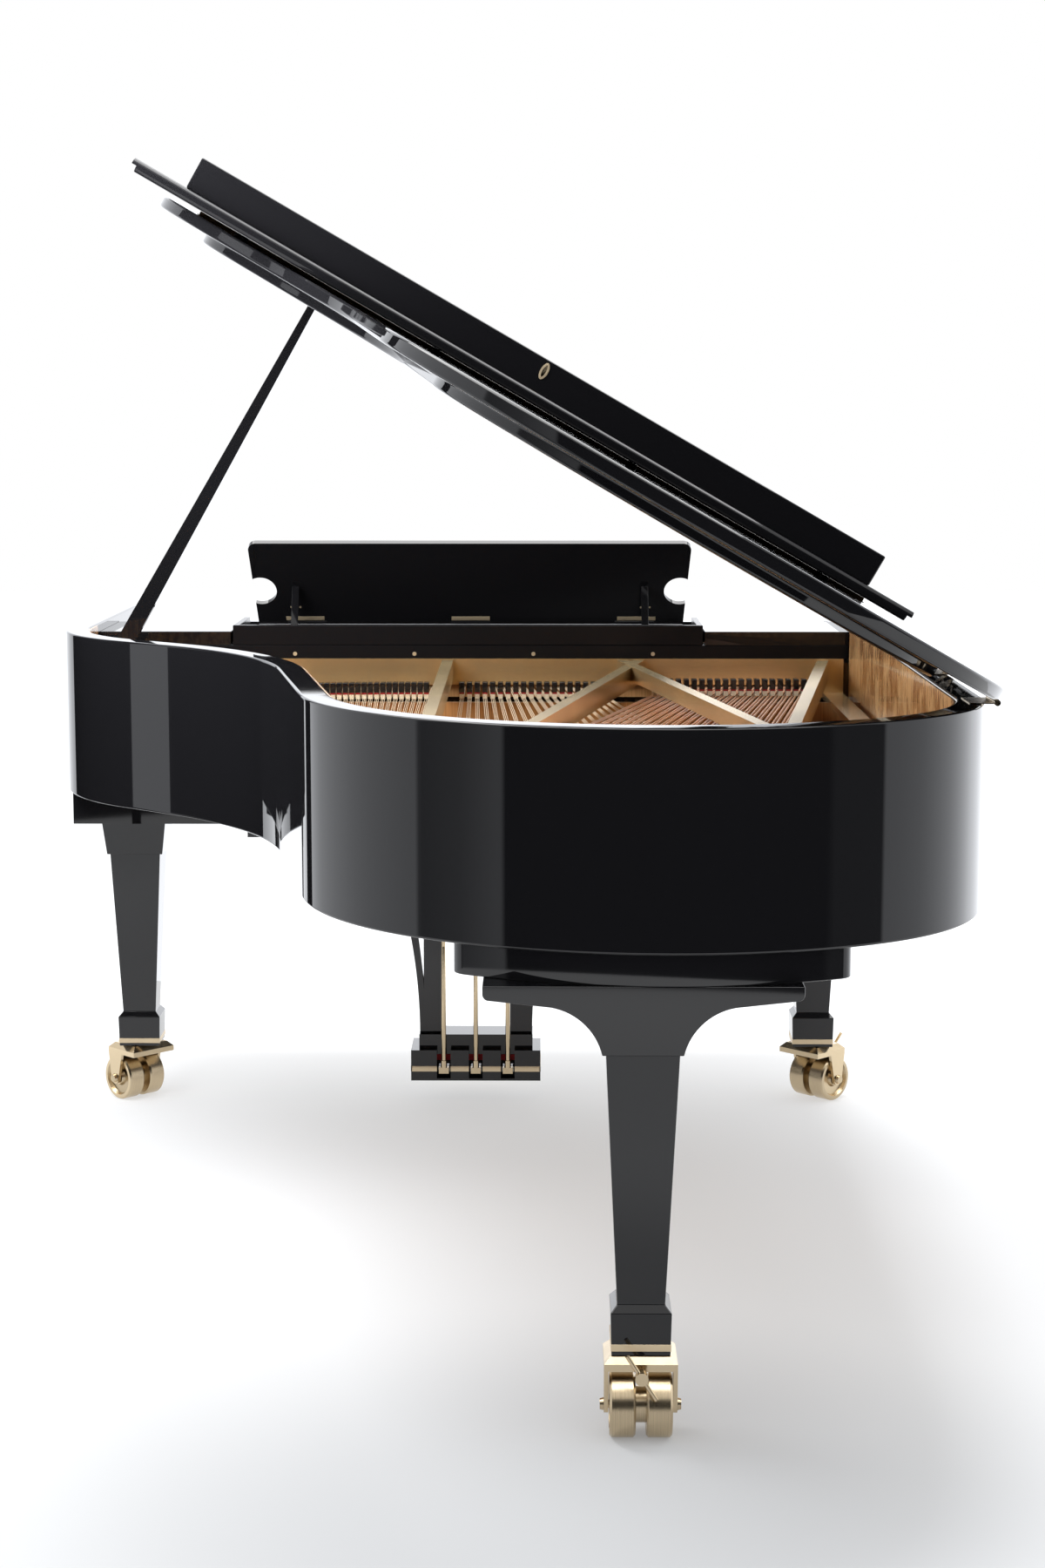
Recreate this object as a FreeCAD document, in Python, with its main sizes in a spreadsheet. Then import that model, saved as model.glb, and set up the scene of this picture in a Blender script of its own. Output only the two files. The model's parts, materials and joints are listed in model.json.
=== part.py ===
"""A grand piano as separate pieces, in millimetres.

The frame: +X is the treble side, +Y runs from the keyboard to the tail, +Z is up. The origin is on the
floor under the middle of the case. The lid stands open on its prop and the music desk is raised.
"""
import FreeCAD, Part
import math
import os
import re
from types import SimpleNamespace

# Driving sizes: name, value, what it measures.
SIZE_ROWS = (
    ("case_length", 2280, "case, keyboard edge to tail end"),
    ("case_width", 1556, "case, treble side to spine"),
    ("rim_height", 305, "rim, bottom to top"),
    ("rim_bottom", 680, "floor to the bottom of the rim"),
    ("rim_wall", 42, "outer rim thickness"),
    ("arm_round", 40, "rounding of the arms' front corners"),
    ("veneer", 3, "veneer inside the rim"),
    ("veneer_start", 32, "deck's rear face to the start of the veneer"),
    ("inner_rim_wall", 45, "inner rim thickness"),
    ("bent_radius", 420, "bent side, first curve"),
    ("bent_angle", 48, "bent side, steepest heading in degrees"),
    ("bent_run", 145, "bent side, straight after the first curve"),
    ("waist_radius", 760, "bent side, hollow curve"),
    ("waist_angle", 10, "bent side, heading after the hollow curve"),
    ("waist_run", 406, "bent side, straight before the tail"),
    ("tail_side_radius", 480, "tail, first curve"),
    ("tail_side_angle", 50, "tail, heading after the first curve"),
    ("tail_treble_radius", 560, "tail, treble half of the end"),
    ("tail_bass_radius", 520, "tail, bass half of the end"),
    ("tail_bass_angle", 125, "tail, heading where the bass corner starts"),
    ("tail_corner_radius", 370, "tail, bass corner"),
    ("keybed_wall", 66, "keybed thickness"),
    ("keybed_depth", 700, "keybed, front to rear"),
    ("keybed_margin", 15, "keybed inside the case side"),
    ("lyre_beam_drop", 69, "lyre beam below the keybed"),
    ("lyre_beam_half", 460, "lyre beam, half its length"),
    ("keyslip_wall", 22, "keyslip thickness"),
    ("keyslip_rise", 64, "keyslip height above the keybed"),
    ("keyslip_setback", 4, "keyslip behind the case front"),
    ("cheek_rise", 92, "cheek block height above the keybed"),
    ("cheek_rear", 260, "case front to the rear of the cheek blocks"),
    ("belly_rail_depth", 40, "belly rail, front to rear"),
    ("belly_seat", 25, "belly rail resting on the keybed"),
    ("soundboard_lift", 120, "rim's bottom to the top of the soundboard"),
    ("soundboard_wall", 8, "soundboard thickness"),
    ("rib_height", 20, "soundboard rib height"),
    ("rib_width", 22, "soundboard rib width"),
    ("rib_pitch", 170, "soundboard rib spacing"),
    ("beam_height", 70, "bottom beam height"),
    ("beam_width", 60, "bottom beam width"),
    ("beam_pitch", 250, "bottom beam spacing"),
    ("beam_lift", 10, "bottom beam above the rim's bottom"),
    ("plate_inset", 52, "iron plate edge inside the case side"),
    ("plate_ring", 40, "iron plate flange width"),
    ("peg_offset", 90, "treble plate peg behind the plate's lip"),
    ("plate_lift", 36, "soundboard to the underside of the plate flange"),
    ("plate_wall", 12, "iron plate flange thickness"),
    ("deck_lift", 115, "soundboard to the top of the tuning pin deck"),
    ("deck_wall", 10, "tuning pin deck thickness"),
    ("deck_front", 310, "case front to the front of the deck"),
    ("deck_rear", 518, "case front to the rear face of the deck"),
    ("deck_lip", 18, "deck rear wall thickness"),
    ("deck_lip_drop", 51, "deck's rear wall, height"),
    ("bar_width", 22, "plate bar width"),
    ("bar_height", 40, "plate bar height at the deck"),
    ("bar_drop", 22, "plate bar, fall of its top towards the tail"),
    ("string_lift", 58, "soundboard to the strings at the deck"),
    ("bridge_width", 30, "bridge width"),
    ("bridge_height", 45, "long bridge height"),
    ("bass_bridge_height", 74, "bass bridge height"),
    ("pin_block_height", 67, "pin block height"),
    ("tuning_pin_radius", 3.5, "tuning pin radius"),
    ("tuning_pin_height", 23, "tuning pin above the deck"),
    ("stretcher_height", 26, "stretcher height"),
    ("stretcher_depth", 44, "stretcher, front to rear"),
    ("shelf_wall", 27, "side shelf thickness"),
    ("shelf_front", 262, "case front to the front of the shelves and tray"),
    ("tray_margin", 274, "music tray to the rim's inner face, on average"),
    ("tray_shift", 12, "tray's middle, towards the treble"),
    ("tray_gap", 4, "gap between the tray and the side shelves"),
    ("tray_floor", 17, "music tray floor thickness"),
    ("tray_edge", 12, "music tray edge moulding thickness"),
    ("tray_edge_rise", 22, "music tray edge moulding above its floor"),
    ("desk_margin", 16, "music desk inside the tray's ends"),
    ("desk_taper", 12, "music desk, narrowing of each end from top to bottom"),
    ("desk_height", 190, "music desk, bottom to top along its face"),
    ("desk_wall", 12, "music desk thickness"),
    ("desk_angle", 60, "music desk, angle above level when raised"),
    ("desk_hinge", 290, "case front to the desk hinge"),
    ("desk_hinge_lift", 11, "desk hinge above the tray floor"),
    ("desk_knuckle", 4, "desk hinge knuckle radius"),
    ("desk_hinge_length", 80, "desk hinge length"),
    ("desk_notch", 32, "music desk, radius of the notch in each end"),
    ("notch_inset", 21, "music desk, notch's middle inside the end"),
    ("strut_foot", 90, "desk hinge to the strut pivot"),
    ("strut_lift", 3.8, "strut pivot above the tray floor"),
    ("strut_angle", 65, "strut, angle above level when raised"),
    ("strut_width", 14, "desk strut width"),
    ("strut_wall", 7, "desk strut thickness"),
    ("strut_margin", 93, "desk strut inside the desk's end"),
    ("fallboard_height", 180, "fallboard, pivot to top"),
    ("fallboard_wall", 18, "fallboard thickness"),
    ("fallboard_pivot", 215, "case front to the fallboard pivot"),
    ("fallboard_rise", 105, "rim's bottom to the fallboard pivot"),
    ("pivot_pin_radius", 5, "fallboard pivot pin radius"),
    ("pivot_pin_length", 22, "fallboard pivot pin length"),
    ("key_count", 52, "white keys"),
    ("cheek_width", 106, "cheek block width"),
    ("frame_margin", 11.4, "key frame beyond the last key"),
    ("key_gap", 1.1, "gap between keys"),
    ("key_front", 32, "case front to the white keys"),
    ("key_length", 488, "white key with its stick"),
    ("key_head", 50, "white key, wide front part"),
    ("key_show", 165, "white key, visible length"),
    ("key_lift", 50, "keybed to the underside of the keys"),
    ("key_stick", 12, "key stick height"),
    ("key_cover", 10, "white key cover above the stick"),
    ("black_width", 11, "black key width"),
    ("black_rise", 22, "black key above the stick"),
    ("black_setback", 55, "white key front to black key front"),
    ("balance_back", 248, "key front to the balance point"),
    ("key_rail", 18, "key frame rail height"),
    ("key_shift", 5, "side room for the key frame"),
    ("hammer_pivot_back", 461, "case front to the hammer pivot"),
    ("hammer_lift", 32, "underside of the keys to the hammer pivot"),
    ("hammer_length", 119, "hammer shank, pivot to head"),
    ("hammer_rise", 45, "hammer head above its pivot"),
    ("shank_half", 4, "hammer shank, half its thickness"),
    ("damper_back", 182, "deck's rear face to the dampers"),
    ("damper_width", 10.5, "damper head width"),
    ("damper_depth", 26, "damper head, front to rear"),
    ("damper_height", 19, "damper head height"),
    ("damper_felt", 12, "damper felt height"),
    ("lyre_place", 395, "case front to the lyre's middle"),
    ("lyre_depth", 110, "pedal box, front to rear"),
    ("lyre_half", 131.5, "pedal box, half its width"),
    ("box_bottom", 48, "floor to the pedal box"),
    ("box_height", 63, "pedal box height"),
    ("box_tier", 28, "pedal box upper tier height"),
    ("post_width", 37, "lyre post width"),
    ("post_place", 88, "lyre post from the middle"),
    ("column_top", 26, "lyre column width at its top"),
    ("column_foot", 12, "lyre column width at its foot"),
    ("column_flare", 48, "lyre column, lean outwards"),
    ("lyre_block", 20, "lyre top block thickness"),
    ("pedal_pitch", 65, "pedal spacing"),
    ("toe_length", 45, "pedal toe, front to rear"),
    ("pedal_lift", 14, "underside of the pedal box to the pedals"),
    ("pedal_wall", 12, "pedal thickness"),
    ("pedal_stem", 20, "pedal width inside the box"),
    ("pedal_toe", 36, "pedal width at its front"),
    ("pedal_reach", 100, "pedal in front of the box"),
    ("pedal_slot", 28, "slot in the pedal box"),
    ("pedal_pin_radius", 4, "pedal pivot radius"),
    ("rod_radius", 4, "pedal rod radius"),
    ("rod_setback", 7, "pedal rod inside the rear face of the box"),
    ("cup_radius", 6.5, "pedal rod cup radius"),
    ("cup_height", 14, "pedal rod cup height"),
    ("rod_hole_radius", 7, "rod hole in the keybed"),
    ("rod_entry", 26, "pedal rod above the underside of the keybed"),
    ("leg_inset", 94, "case side to the front leg's middle"),
    ("leg_place_y", 405, "case front to the front legs"),
    ("tail_leg_inset", 506, "bass side to the tail leg's middle"),
    ("tail_leg_y", 67, "tail end to the tail leg"),
    ("foot_bottom", 118, "floor to the leg's foot"),
    ("foot_height", 70, "leg's foot, bottom to top"),
    ("foot_width", 84, "foot block width"),
    ("foot_chamfer", 10, "foot block top chamfer"),
    ("ankle_width", 66, "leg width above the foot"),
    ("collar_height", 99, "collar above the leg's taper"),
    ("knee_width", 100, "leg width at the top of its taper"),
    ("collar_foot", 111, "collar width at its foot"),
    ("collar_top", 135, "collar width at the keybed"),
    ("tail_plate_wall", 44, "plate under the tail, thickness"),
    ("tail_plate_half", 271, "plate under the tail, half its width"),
    ("tail_plate_shift", 14, "plate under the tail, offset towards the bass"),
    ("tail_plate_inset", 10, "plate under the tail, inside the rim"),
    ("tail_plate_depth", 230, "plate under the tail, front to rear"),
    ("bracket_half", 216, "tail leg bracket, half its width"),
    ("bracket_wall", 20, "tail leg bracket, ear thickness"),
    ("bracket_drop", 95, "tail leg bracket height"),
    ("bracket_step", 5, "tail leg bracket, proud of the leg on each side"),
    ("bracket_curve", 69, "tail leg bracket, reach of each hollow curve"),
    ("bracket_slope", 9, "tail leg bracket, fall of each ear towards the curve"),
    ("bracket_round", 9, "tail leg bracket, rounding of the ears"),
    ("tail_plate_round", 28, "plate under the tail, rounding of its rear corners"),
    ("wheel_radius", 45, "caster wheel radius"),
    ("wheel_rim", 9, "caster wheel, rim outside the hollow"),
    ("wheel_dish", 7, "caster wheel, depth of the hollow"),
    ("wheel_boss", 14, "caster wheel, boss radius inside the hollow"),
    ("wheel_half", 43, "caster, middle to the outer wheel face"),
    ("wheel_groove", 15, "gap between the two wheels"),
    ("wheel_hub_radius", 25, "hub between the wheels, radius"),
    ("wheel_round", 3, "wheel edge rounding"),
    ("axle_radius", 6, "caster axle radius"),
    ("axle_half", 56, "caster axle, half its length"),
    ("nut_radius", 9, "axle nut radius"),
    ("trail", 28, "caster axle behind its swivel"),
    ("fork_half", 50.5, "caster fork, half its width"),
    ("fork_wall", 6, "caster fork cheek thickness"),
    ("cheek_foot", 12, "caster fork cheek, radius about the axle"),
    ("fork_plate", 20, "caster fork plate thickness"),
    ("fork_front", 48, "caster fork, swivel to front edge"),
    ("fork_rear", 38, "caster fork, swivel to rear edge"),
    ("stem_radius", 8, "caster stem radius"),
    ("stem_length", 45, "caster stem length"),
    ("brake_lug", 13, "brake lug width"),
    ("brake_height", 98, "floor to the brake screw"),
    ("brake_radius", 4, "brake screw radius"),
    ("brake_knob_radius", 9, "brake knob radius"),
    ("brake_knob_place", 66, "swivel to the brake knob"),
    ("brake_knob_length", 14, "brake knob length"),
    ("brake_bar", 74, "brake cross bar length"),
    ("brake_bar_radius", 3, "brake cross bar radius"),
    ("brake_bar_angle", 57, "brake cross bar slope"),
    ("treble_caster_turn", -135, "treble caster's heading"),
    ("bass_caster_turn", 135, "bass caster's heading"),
    ("lid_angle", 30, "lid opening angle"),
    ("lid_wall", 22, "lid thickness"),
    ("lid_board", 18, "inner board under the lid, thickness"),
    ("lid_board_inset", 80, "case's outer face to the inner board's edge"),
    ("lid_gap", 3, "lid above the rim"),
    ("lid_overhang", 20, "lid beyond the case side"),
    ("flap_hinge", 34, "deck's rear face to the flap hinge"),
    ("flap_width", 567, "front flap, hinge to free edge"),
    ("flap_stack", 9, "gap between lid and folded flap"),
    ("flap_seam", 1, "gap between lid and flap at the hinge"),
    ("flap_hinge_margin", 60, "flap hinge inside the flap's ends"),
    ("lip_height", 58, "flap lip height"),
    ("lip_wall", 18, "flap lip thickness"),
    ("flap_short", 48, "flap's bass end short of the lid's"),
    ("flap_step", 9, "step along the flap's ends"),
    ("lip_inset", 96, "lip's treble end from the flap's"),
    ("lip_length", 1362, "lip length"),
    ("lip_setback", 24, "flap lip behind the free edge"),
    ("bumper_radius", 7, "lid bumper radius"),
    ("knuckle_radius", 4, "flap hinge knuckle radius"),
    ("hinge_length", 80, "lid hinge length"),
    ("hinge_knuckle", 4.5, "lid hinge knuckle radius"),
    ("hinge_leaf", 1.3, "lid hinge leaf thickness"),
    ("hinge_leaf_width", 34, "lid hinge leaf width"),
    ("hinge_offset", 6, "lid hinge pin outside the spine"),
    ("prop_back", 78, "deck's rear face to the prop"),
    ("prop_inset", 52, "veneer to the prop pivot"),
    ("prop_drop", 45, "rim top to the prop pivot"),
    ("prop_foot", 33, "prop width at its foot"),
    ("prop_head", 15, "prop width at its head"),
    ("prop_wall", 20, "prop thickness"),
    ("prop_pin_radius", 5, "prop pivot pin radius"),
    ("seat_gap", 0.3, "gap between pieces that rest on each other and move"),
    ("running_gap", 0.05, "radial gap of pins in their bores"),
)

doc = FreeCAD.newDocument("grand_piano")
sheet = doc.addObject("Spreadsheet::Sheet", "Sizes")
for row_number, (alias, value, meaning) in enumerate(SIZE_ROWS, start=1):
    sheet.set(f"A{row_number}", meaning)
    sheet.set(f"B{row_number}", str(value))
    sheet.setAlias(f"B{row_number}", alias)
doc.recompute()

S = SimpleNamespace(**{alias: float(sheet.get(alias)) for alias, value, meaning in SIZE_ROWS})
ALIAS = re.compile(r"\b(" + "|".join(alias for alias, value, meaning in SIZE_ROWS) + r")\b")
# Places and levels that follow from the sizes; each may use those above it.
DERIVED_ROWS = (
    ("front", "-case_length / 2"),
    ("tail", "case_length / 2"),
    ("side", "case_width / 2"),
    ("inner", "side - rim_wall"),
    ("rim_top", "rim_bottom + rim_height"),
    ("keybed_bottom", "rim_bottom - keybed_wall"),
    ("knee_height", "keybed_bottom - collar_height"),
    ("foot_top", "foot_bottom + foot_height"),
    ("soundboard_top", "rim_bottom + soundboard_lift"),
    ("plate_bottom", "soundboard_top + plate_lift"),
    ("deck_top", "soundboard_top + deck_lift"),
    ("deck_back", "front + deck_rear"),
    ("stretcher_top", "deck_top + stretcher_height"),
    ("key_frame_half", "inner - cheek_width - key_shift"),
    ("key_pitch", "2 * (key_frame_half - frame_margin) / key_count"),
    ("key_bottom", "rim_bottom + key_lift"),
    ("hammer_pivot_height", "key_bottom + hammer_lift"),
    ("fallboard_lift", "rim_bottom + fallboard_rise"),
    ("pedal_height", "box_bottom + pedal_lift"),
    ("leg_place_x", "side - leg_inset"),
    ("tail_leg_x", "tail_leg_inset - side"),
    ("prop_height", "rim_top - prop_drop"),
    ("tray_half", "side - rim_wall - tray_margin"),
    ("desk_half", "tray_half - desk_margin"),
    ("strut_place", "desk_half - strut_margin"),
)
DERIVED = {}
V = FreeCAD.Vector
NODES = []


def formula(text):
    """A cell formula from plain names of sizes and derived places."""
    for word, meaning in DERIVED.items():
        text = re.sub(rf"\b{word}\b", meaning, text)
    return ALIAS.sub(r"Sizes.\1", text)


def add_derived():
    """Each derived place as a formula in sizes alone, and as a number taken from the sheet."""
    for word, meaning in DERIVED_ROWS:
        for earlier, full in DERIVED.items():
            meaning = re.sub(rf"\b{earlier}\b", full, meaning)
        DERIVED[word] = f"({meaning})"
        setattr(S, word, float(sheet.evalExpression(ALIAS.sub(r"Sizes.\1", DERIVED[word]))))


add_derived()
SIDE, FRONT, TAIL, INNER = S.side, S.front, S.tail, S.inner


def block(name, x, y, z):
    """A box between two corners, each given as formulas."""
    box = doc.addObject("Part::Box", name)
    for prop, axis, (low, high) in (("Length", "x", x), ("Width", "y", y), ("Height", "z", z)):
        box.setExpression(prop, formula(f"({high}) - ({low})"))
        box.setExpression(f"Placement.Base.{axis}", formula(low))
    return box


def rod(name, start, radius, length, direction=V(0, 0, 1)):
    """A cylinder from a start point given as three formulas, along a direction."""
    cylinder = doc.addObject("Part::Cylinder", name)
    cylinder.Placement.Rotation = FreeCAD.Rotation(V(0, 0, 1), direction)
    cylinder.setExpression("Radius", formula(radius))
    cylinder.setExpression("Height", formula(length))
    for axis, text in zip("xyz", start):
        cylinder.setExpression(f"Placement.Base.{axis}", formula(text))
    return cylinder


def taper(name, centre, low, high, width_low, width_high):
    """A square post about a vertical line, whose width changes from low to high."""
    wedge = doc.addObject("Part::Wedge", name)
    wedge.Placement.Rotation = FreeCAD.Rotation(V(1, 0, 0), 90)
    wedge.setExpression("Placement.Base.x", formula(centre[0]))
    wedge.setExpression("Placement.Base.y", formula(centre[1]))
    wedge.setExpression("Ymin", formula(low))
    wedge.setExpression("Ymax", formula(high))
    for prop, sign, width in (("Xmin", "-", width_low), ("Xmax", "", width_low), ("Zmin", "-", width_low),
                              ("Zmax", "", width_low), ("X2min", "-", width_high), ("X2max", "", width_high),
                              ("Z2min", "-", width_high), ("Z2max", "", width_high)):
        wedge.setExpression(prop, formula(f"{sign}({width}) / 2"))
    return wedge


def fuse(name, pieces):
    joined = doc.addObject("Part::MultiFuse", name)
    joined.Shapes = pieces
    return joined


def cut(name, base, tools):
    """The base less the tools."""
    carved = doc.addObject("Part::Cut", name)
    carved.Base = base
    carved.Tool = tools[0] if len(tools) == 1 else fuse(name + "_tools", tools)
    return carved


def group(name, pieces):
    together = doc.addObject("Part::Compound", name)
    together.Links = pieces
    return together


def feature(name, shape, placement=None):
    thing = doc.addObject("Part::Feature", name)
    thing.Shape = shape
    if placement is not None:
        thing.Placement = placement
    return thing


def node(label, thing):
    thing.Label = label
    NODES.append(thing)
    return thing


def arc_step(radius, start, end):
    """The step along a curve between two headings, in degrees from +Y towards -X."""
    bend = 1 if end > start else -1
    first, last = math.radians(start), math.radians(end)
    return bend * radius * (math.cos(last) - math.cos(first)), bend * radius * (math.sin(last) - math.sin(first))


def line_step(length, heading):
    angle = math.radians(heading)
    return -length * math.sin(angle), length * math.cos(angle)


# The tail curves are drawn to the case's width, and the treble side's straight to its length.
TAIL_CURVES = ((S.tail_side_radius, S.waist_angle, S.tail_side_angle),
               (S.tail_treble_radius, S.tail_side_angle, 90),
               (S.tail_bass_radius, 90, S.tail_bass_angle),
               (S.tail_corner_radius, S.tail_bass_angle, 180))
BENT_STEPS = (arc_step(S.bent_radius, 0, S.bent_angle), line_step(S.bent_run, S.bent_angle),
              arc_step(S.waist_radius, S.bent_angle, S.waist_angle), line_step(S.waist_run, S.waist_angle))
TAIL_STEPS = [arc_step(*curve) for curve in TAIL_CURVES]
TAIL_SCALE = ((S.case_width + sum(step[0] for step in BENT_STEPS)) / -sum(step[0] for step in TAIL_STEPS))
TREBLE_END = TAIL - sum(step[1] for step in BENT_STEPS) - TAIL_SCALE * (TAIL_STEPS[0][1] + TAIL_STEPS[1][1])


def case_edges(inset, front):
    """The case's plan, a given distance inside its outer face, from treble front to bass front."""
    point = V(SIDE - inset, front, 0)
    edges = []

    def go(step):
        nonlocal point
        target = point + V(step[0], step[1], 0)
        edges.append(Part.LineSegment(point, target).toShape())
        point = target

    def turn(radius, start, end):
        nonlocal point
        true_radius = radius - inset if end > start else radius + inset
        middle = point + V(*arc_step(true_radius, start, (start + end) / 2), 0)
        target = point + V(*arc_step(true_radius, start, end), 0)
        edges.append(Part.Arc(point, middle, target).toShape())
        point = target

    go((0, TREBLE_END - front))
    turn(S.bent_radius, 0, S.bent_angle)
    go(line_step(S.bent_run, S.bent_angle))
    turn(S.waist_radius, S.bent_angle, S.waist_angle)
    go(line_step(S.waist_run, S.waist_angle))
    for radius, start, end in TAIL_CURVES:
        turn(radius * TAIL_SCALE, start, end)
    go((0, front - point.y))
    go((SIDE - inset - point.x, 0))
    return edges


def slab(inset, front, bottom, top):
    """A flat board with the case's plan, from a front line to the tail."""
    face = Part.Face(Part.Wire(case_edges(inset, min(front, FRONT))))
    face.translate(V(0, 0, bottom))
    board = face.extrude(V(0, 0, top - bottom))
    if front > FRONT:
        board = board.cut(Part.makeBox(2 * S.case_width, front - FRONT + 1, top - bottom + 2,
                                       V(-S.case_width, FRONT - 1, bottom - 1)))
    return board


def band(outer, inner, front, bottom, top):
    """A wall that follows the case's plan between two insets, open at the front."""
    beyond = S.case_length
    return slab(outer, front, bottom, top).cut(slab(inner, front - beyond, bottom, top))


def prism(points, along):
    """Straight sides through points, pushed along a vector."""
    wire = Part.makePolygon([V(*point) for point in points] + [V(*points[0])])
    return Part.Face(wire).extrude(V(*along))


def bar(start, end, width, profile):
    """A beam between two plan points; profile gives its bottom and top at each end."""
    run = V(end[0] - start[0], end[1] - start[1], 0)
    across = V(-run.y, run.x, 0).normalize() * (width / 2)
    (low_a, high_a), (low_b, high_b) = profile
    first = V(*start, 0) - across
    last = V(*end, 0) - across
    corners = [first + V(0, 0, low_a), last + V(0, 0, low_b), last + V(0, 0, high_b), first + V(0, 0, high_a)]
    return Part.Face(Part.makePolygon(corners + corners[:1])).extrude(across * 2)


def turned(profile, axis_point, axis):
    """A solid turned about an axis from a closed profile."""
    face = Part.Face(Part.makePolygon([V(*point) for point in profile] + [V(*profile[0])]))
    return face.revolve(V(*axis_point), V(*axis), 360)


def straight_string(start, end, radius):
    run = end - start
    return Part.makeCylinder(radius, run.Length, start, run)


# Case
def make_case():
    rim = band(0, S.rim_wall, FRONT, S.rim_bottom, S.rim_top)
    corners = [edge for edge in rim.Edges
               if all(abs(v.Y - FRONT) < 0.01 and abs(v.Z - S.rim_top) < 0.01 for v in edge.Vertexes)]
    node("outer_rim", feature("OuterRim", rim.makeFillet(S.arm_round, corners)))
    veneer = band(S.rim_wall, S.rim_wall + S.veneer, S.deck_back + S.veneer_start, S.soundboard_top, S.rim_top - S.veneer)
    node("rim_veneer", feature("RimVeneer", veneer))
    rear = FRONT + S.keybed_depth - S.belly_seat + S.belly_rail_depth
    ledge = S.soundboard_top - S.soundboard_wall
    inner = S.rim_wall + S.inner_rim_wall
    node("inner_rim", feature("InnerRim", band(S.rim_wall, inner, rear, S.rim_bottom, ledge)))
    rail = slab(S.rim_wall, rear - S.belly_rail_depth, S.rim_bottom, ledge)
    node("belly_rail", feature("BellyRail", rail.cut(slab(0, rear, S.rim_bottom, ledge))))
    room = slab(inner, rear, S.rim_bottom, ledge)
    beams = [Part.makeBox(S.beam_width, S.case_length, S.beam_height,
                          V(-INNER + step * S.beam_pitch, rear, S.rim_bottom + S.beam_lift)) for step in range(1, 5)]
    ribs = [Part.makeBox(S.case_width, S.rib_width, S.rib_height,
                         V(-SIDE, rear + step * S.rib_pitch, ledge - S.rib_height)) for step in range(1, 9)]
    node("beams_and_ribs", feature("BeamsAndRibs", Part.makeCompound([room.common(beam) for beam in beams + ribs])))
    node("soundboard", feature("Soundboard", slab(S.rim_wall, rear - S.belly_rail_depth, ledge, S.soundboard_top)))


# Strung back
def spot(across, along):
    """A plan point by its share of the half width and of the room between the deck and the tail."""
    return V(across * SIDE, S.deck_back + along * (TAIL - S.deck_back), 0)


BRIDGE_TREBLE = (spot(0.862, 0.040), spot(0.418, 0.274), spot(0.082, 0.523))
BRIDGE_TENOR = (spot(0.082, 0.523), spot(-0.250, 0.630), spot(-0.563, 0.700))
BASS_BRIDGE = (spot(-0.590, 0.820), spot(-0.121, 0.669))
TREBLE_NOTES, TENOR_NOTES, BASS_NOTES = 48, 20, 20
DAMPED_TREBLE_NOTES = 23


def string_runs():
    """Each note's front and bridge point in plan, from the bass up, with its height over the bridge and radius."""
    start_y = S.deck_back - S.deck_lip
    runs = []
    for number in range(BASS_NOTES):
        share = number / (BASS_NOTES - 1)
        end = BASS_BRIDGE[0] + (BASS_BRIDGE[1] - BASS_BRIDGE[0]) * (0.05 + 0.9 * share)
        runs.append((V((-0.849 + 0.342 * share) * SIDE, start_y, 0), end, S.bass_bridge_height + 2, 2.2 - 0.8 * share))
    tenor = Part.Arc(BRIDGE_TENOR[2], BRIDGE_TENOR[1], BRIDGE_TENOR[0])
    treble = Part.Arc(BRIDGE_TREBLE[2], BRIDGE_TREBLE[1], BRIDGE_TREBLE[0])
    for number in range(TENOR_NOTES):
        share = number / (TENOR_NOTES - 1)
        place = tenor.FirstParameter + (tenor.LastParameter - tenor.FirstParameter) * (0.03 + 0.85 * share)
        runs.append((V((-0.296 + 0.322 * share) * SIDE, start_y, 0), tenor.value(place), S.bridge_height + 1, 0.7))
    for number in range(TREBLE_NOTES):
        share = number / (TREBLE_NOTES - 1)
        place = treble.FirstParameter + (treble.LastParameter - treble.FirstParameter) * (0.03 + 0.95 * share)
        runs.append((V((0.112 + 0.756 * share) * SIDE, start_y, 0), treble.value(place), S.bridge_height + 1, 0.6))
    return runs


def make_strings():
    wires = []
    for start, end, height, radius in string_runs():
        wires.append(straight_string(start + V(0, 0, S.soundboard_top + S.string_lift),
                                     end + V(0, 0, S.soundboard_top + height), radius))
    node("bass_strings", feature("BassStrings", Part.makeCompound(wires[:BASS_NOTES])))
    node("treble_strings", feature("TrebleStrings", Part.makeCompound(wires[BASS_NOTES:])))


def curved_bridge(points, width, bottom, top):
    """A beam along an arc through three plan points."""
    side_a, side_b = [], []
    for index, point in enumerate(points):
        before = points[max(index - 1, 0)]
        after = points[min(index + 1, len(points) - 1)]
        run = after - before
        across = V(-run.y, run.x, 0).normalize() * (width / 2)
        side_a.append(point + across)
        side_b.append(point - across)
    edges = [Part.Arc(*side_a).toShape(), Part.LineSegment(side_a[-1], side_b[-1]).toShape(),
             Part.Arc(*reversed(side_b)).toShape(), Part.LineSegment(side_b[0], side_a[0]).toShape()]
    face = Part.Face(Part.Wire(edges))
    face.translate(V(0, 0, bottom))
    return face.extrude(V(0, 0, top - bottom))


def make_bridges():
    seam = 1.0
    tenor = curved_bridge(BRIDGE_TENOR, S.bridge_width, S.soundboard_top, S.soundboard_top + S.bridge_height)
    treble = curved_bridge(BRIDGE_TREBLE, S.bridge_width, S.soundboard_top, S.soundboard_top + S.bridge_height)
    treble = treble.cut(tenor.makeOffsetShape(seam, 0.01)) if treble.common(tenor).Volume > 0 else treble
    bass = bar(BASS_BRIDGE[0][:2], BASS_BRIDGE[1][:2], S.bridge_width,
               ((S.soundboard_top, S.soundboard_top + S.bass_bridge_height),) * 2)
    node("bridges", feature("Bridges", Part.makeCompound([tenor, treble, bass])))


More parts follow.
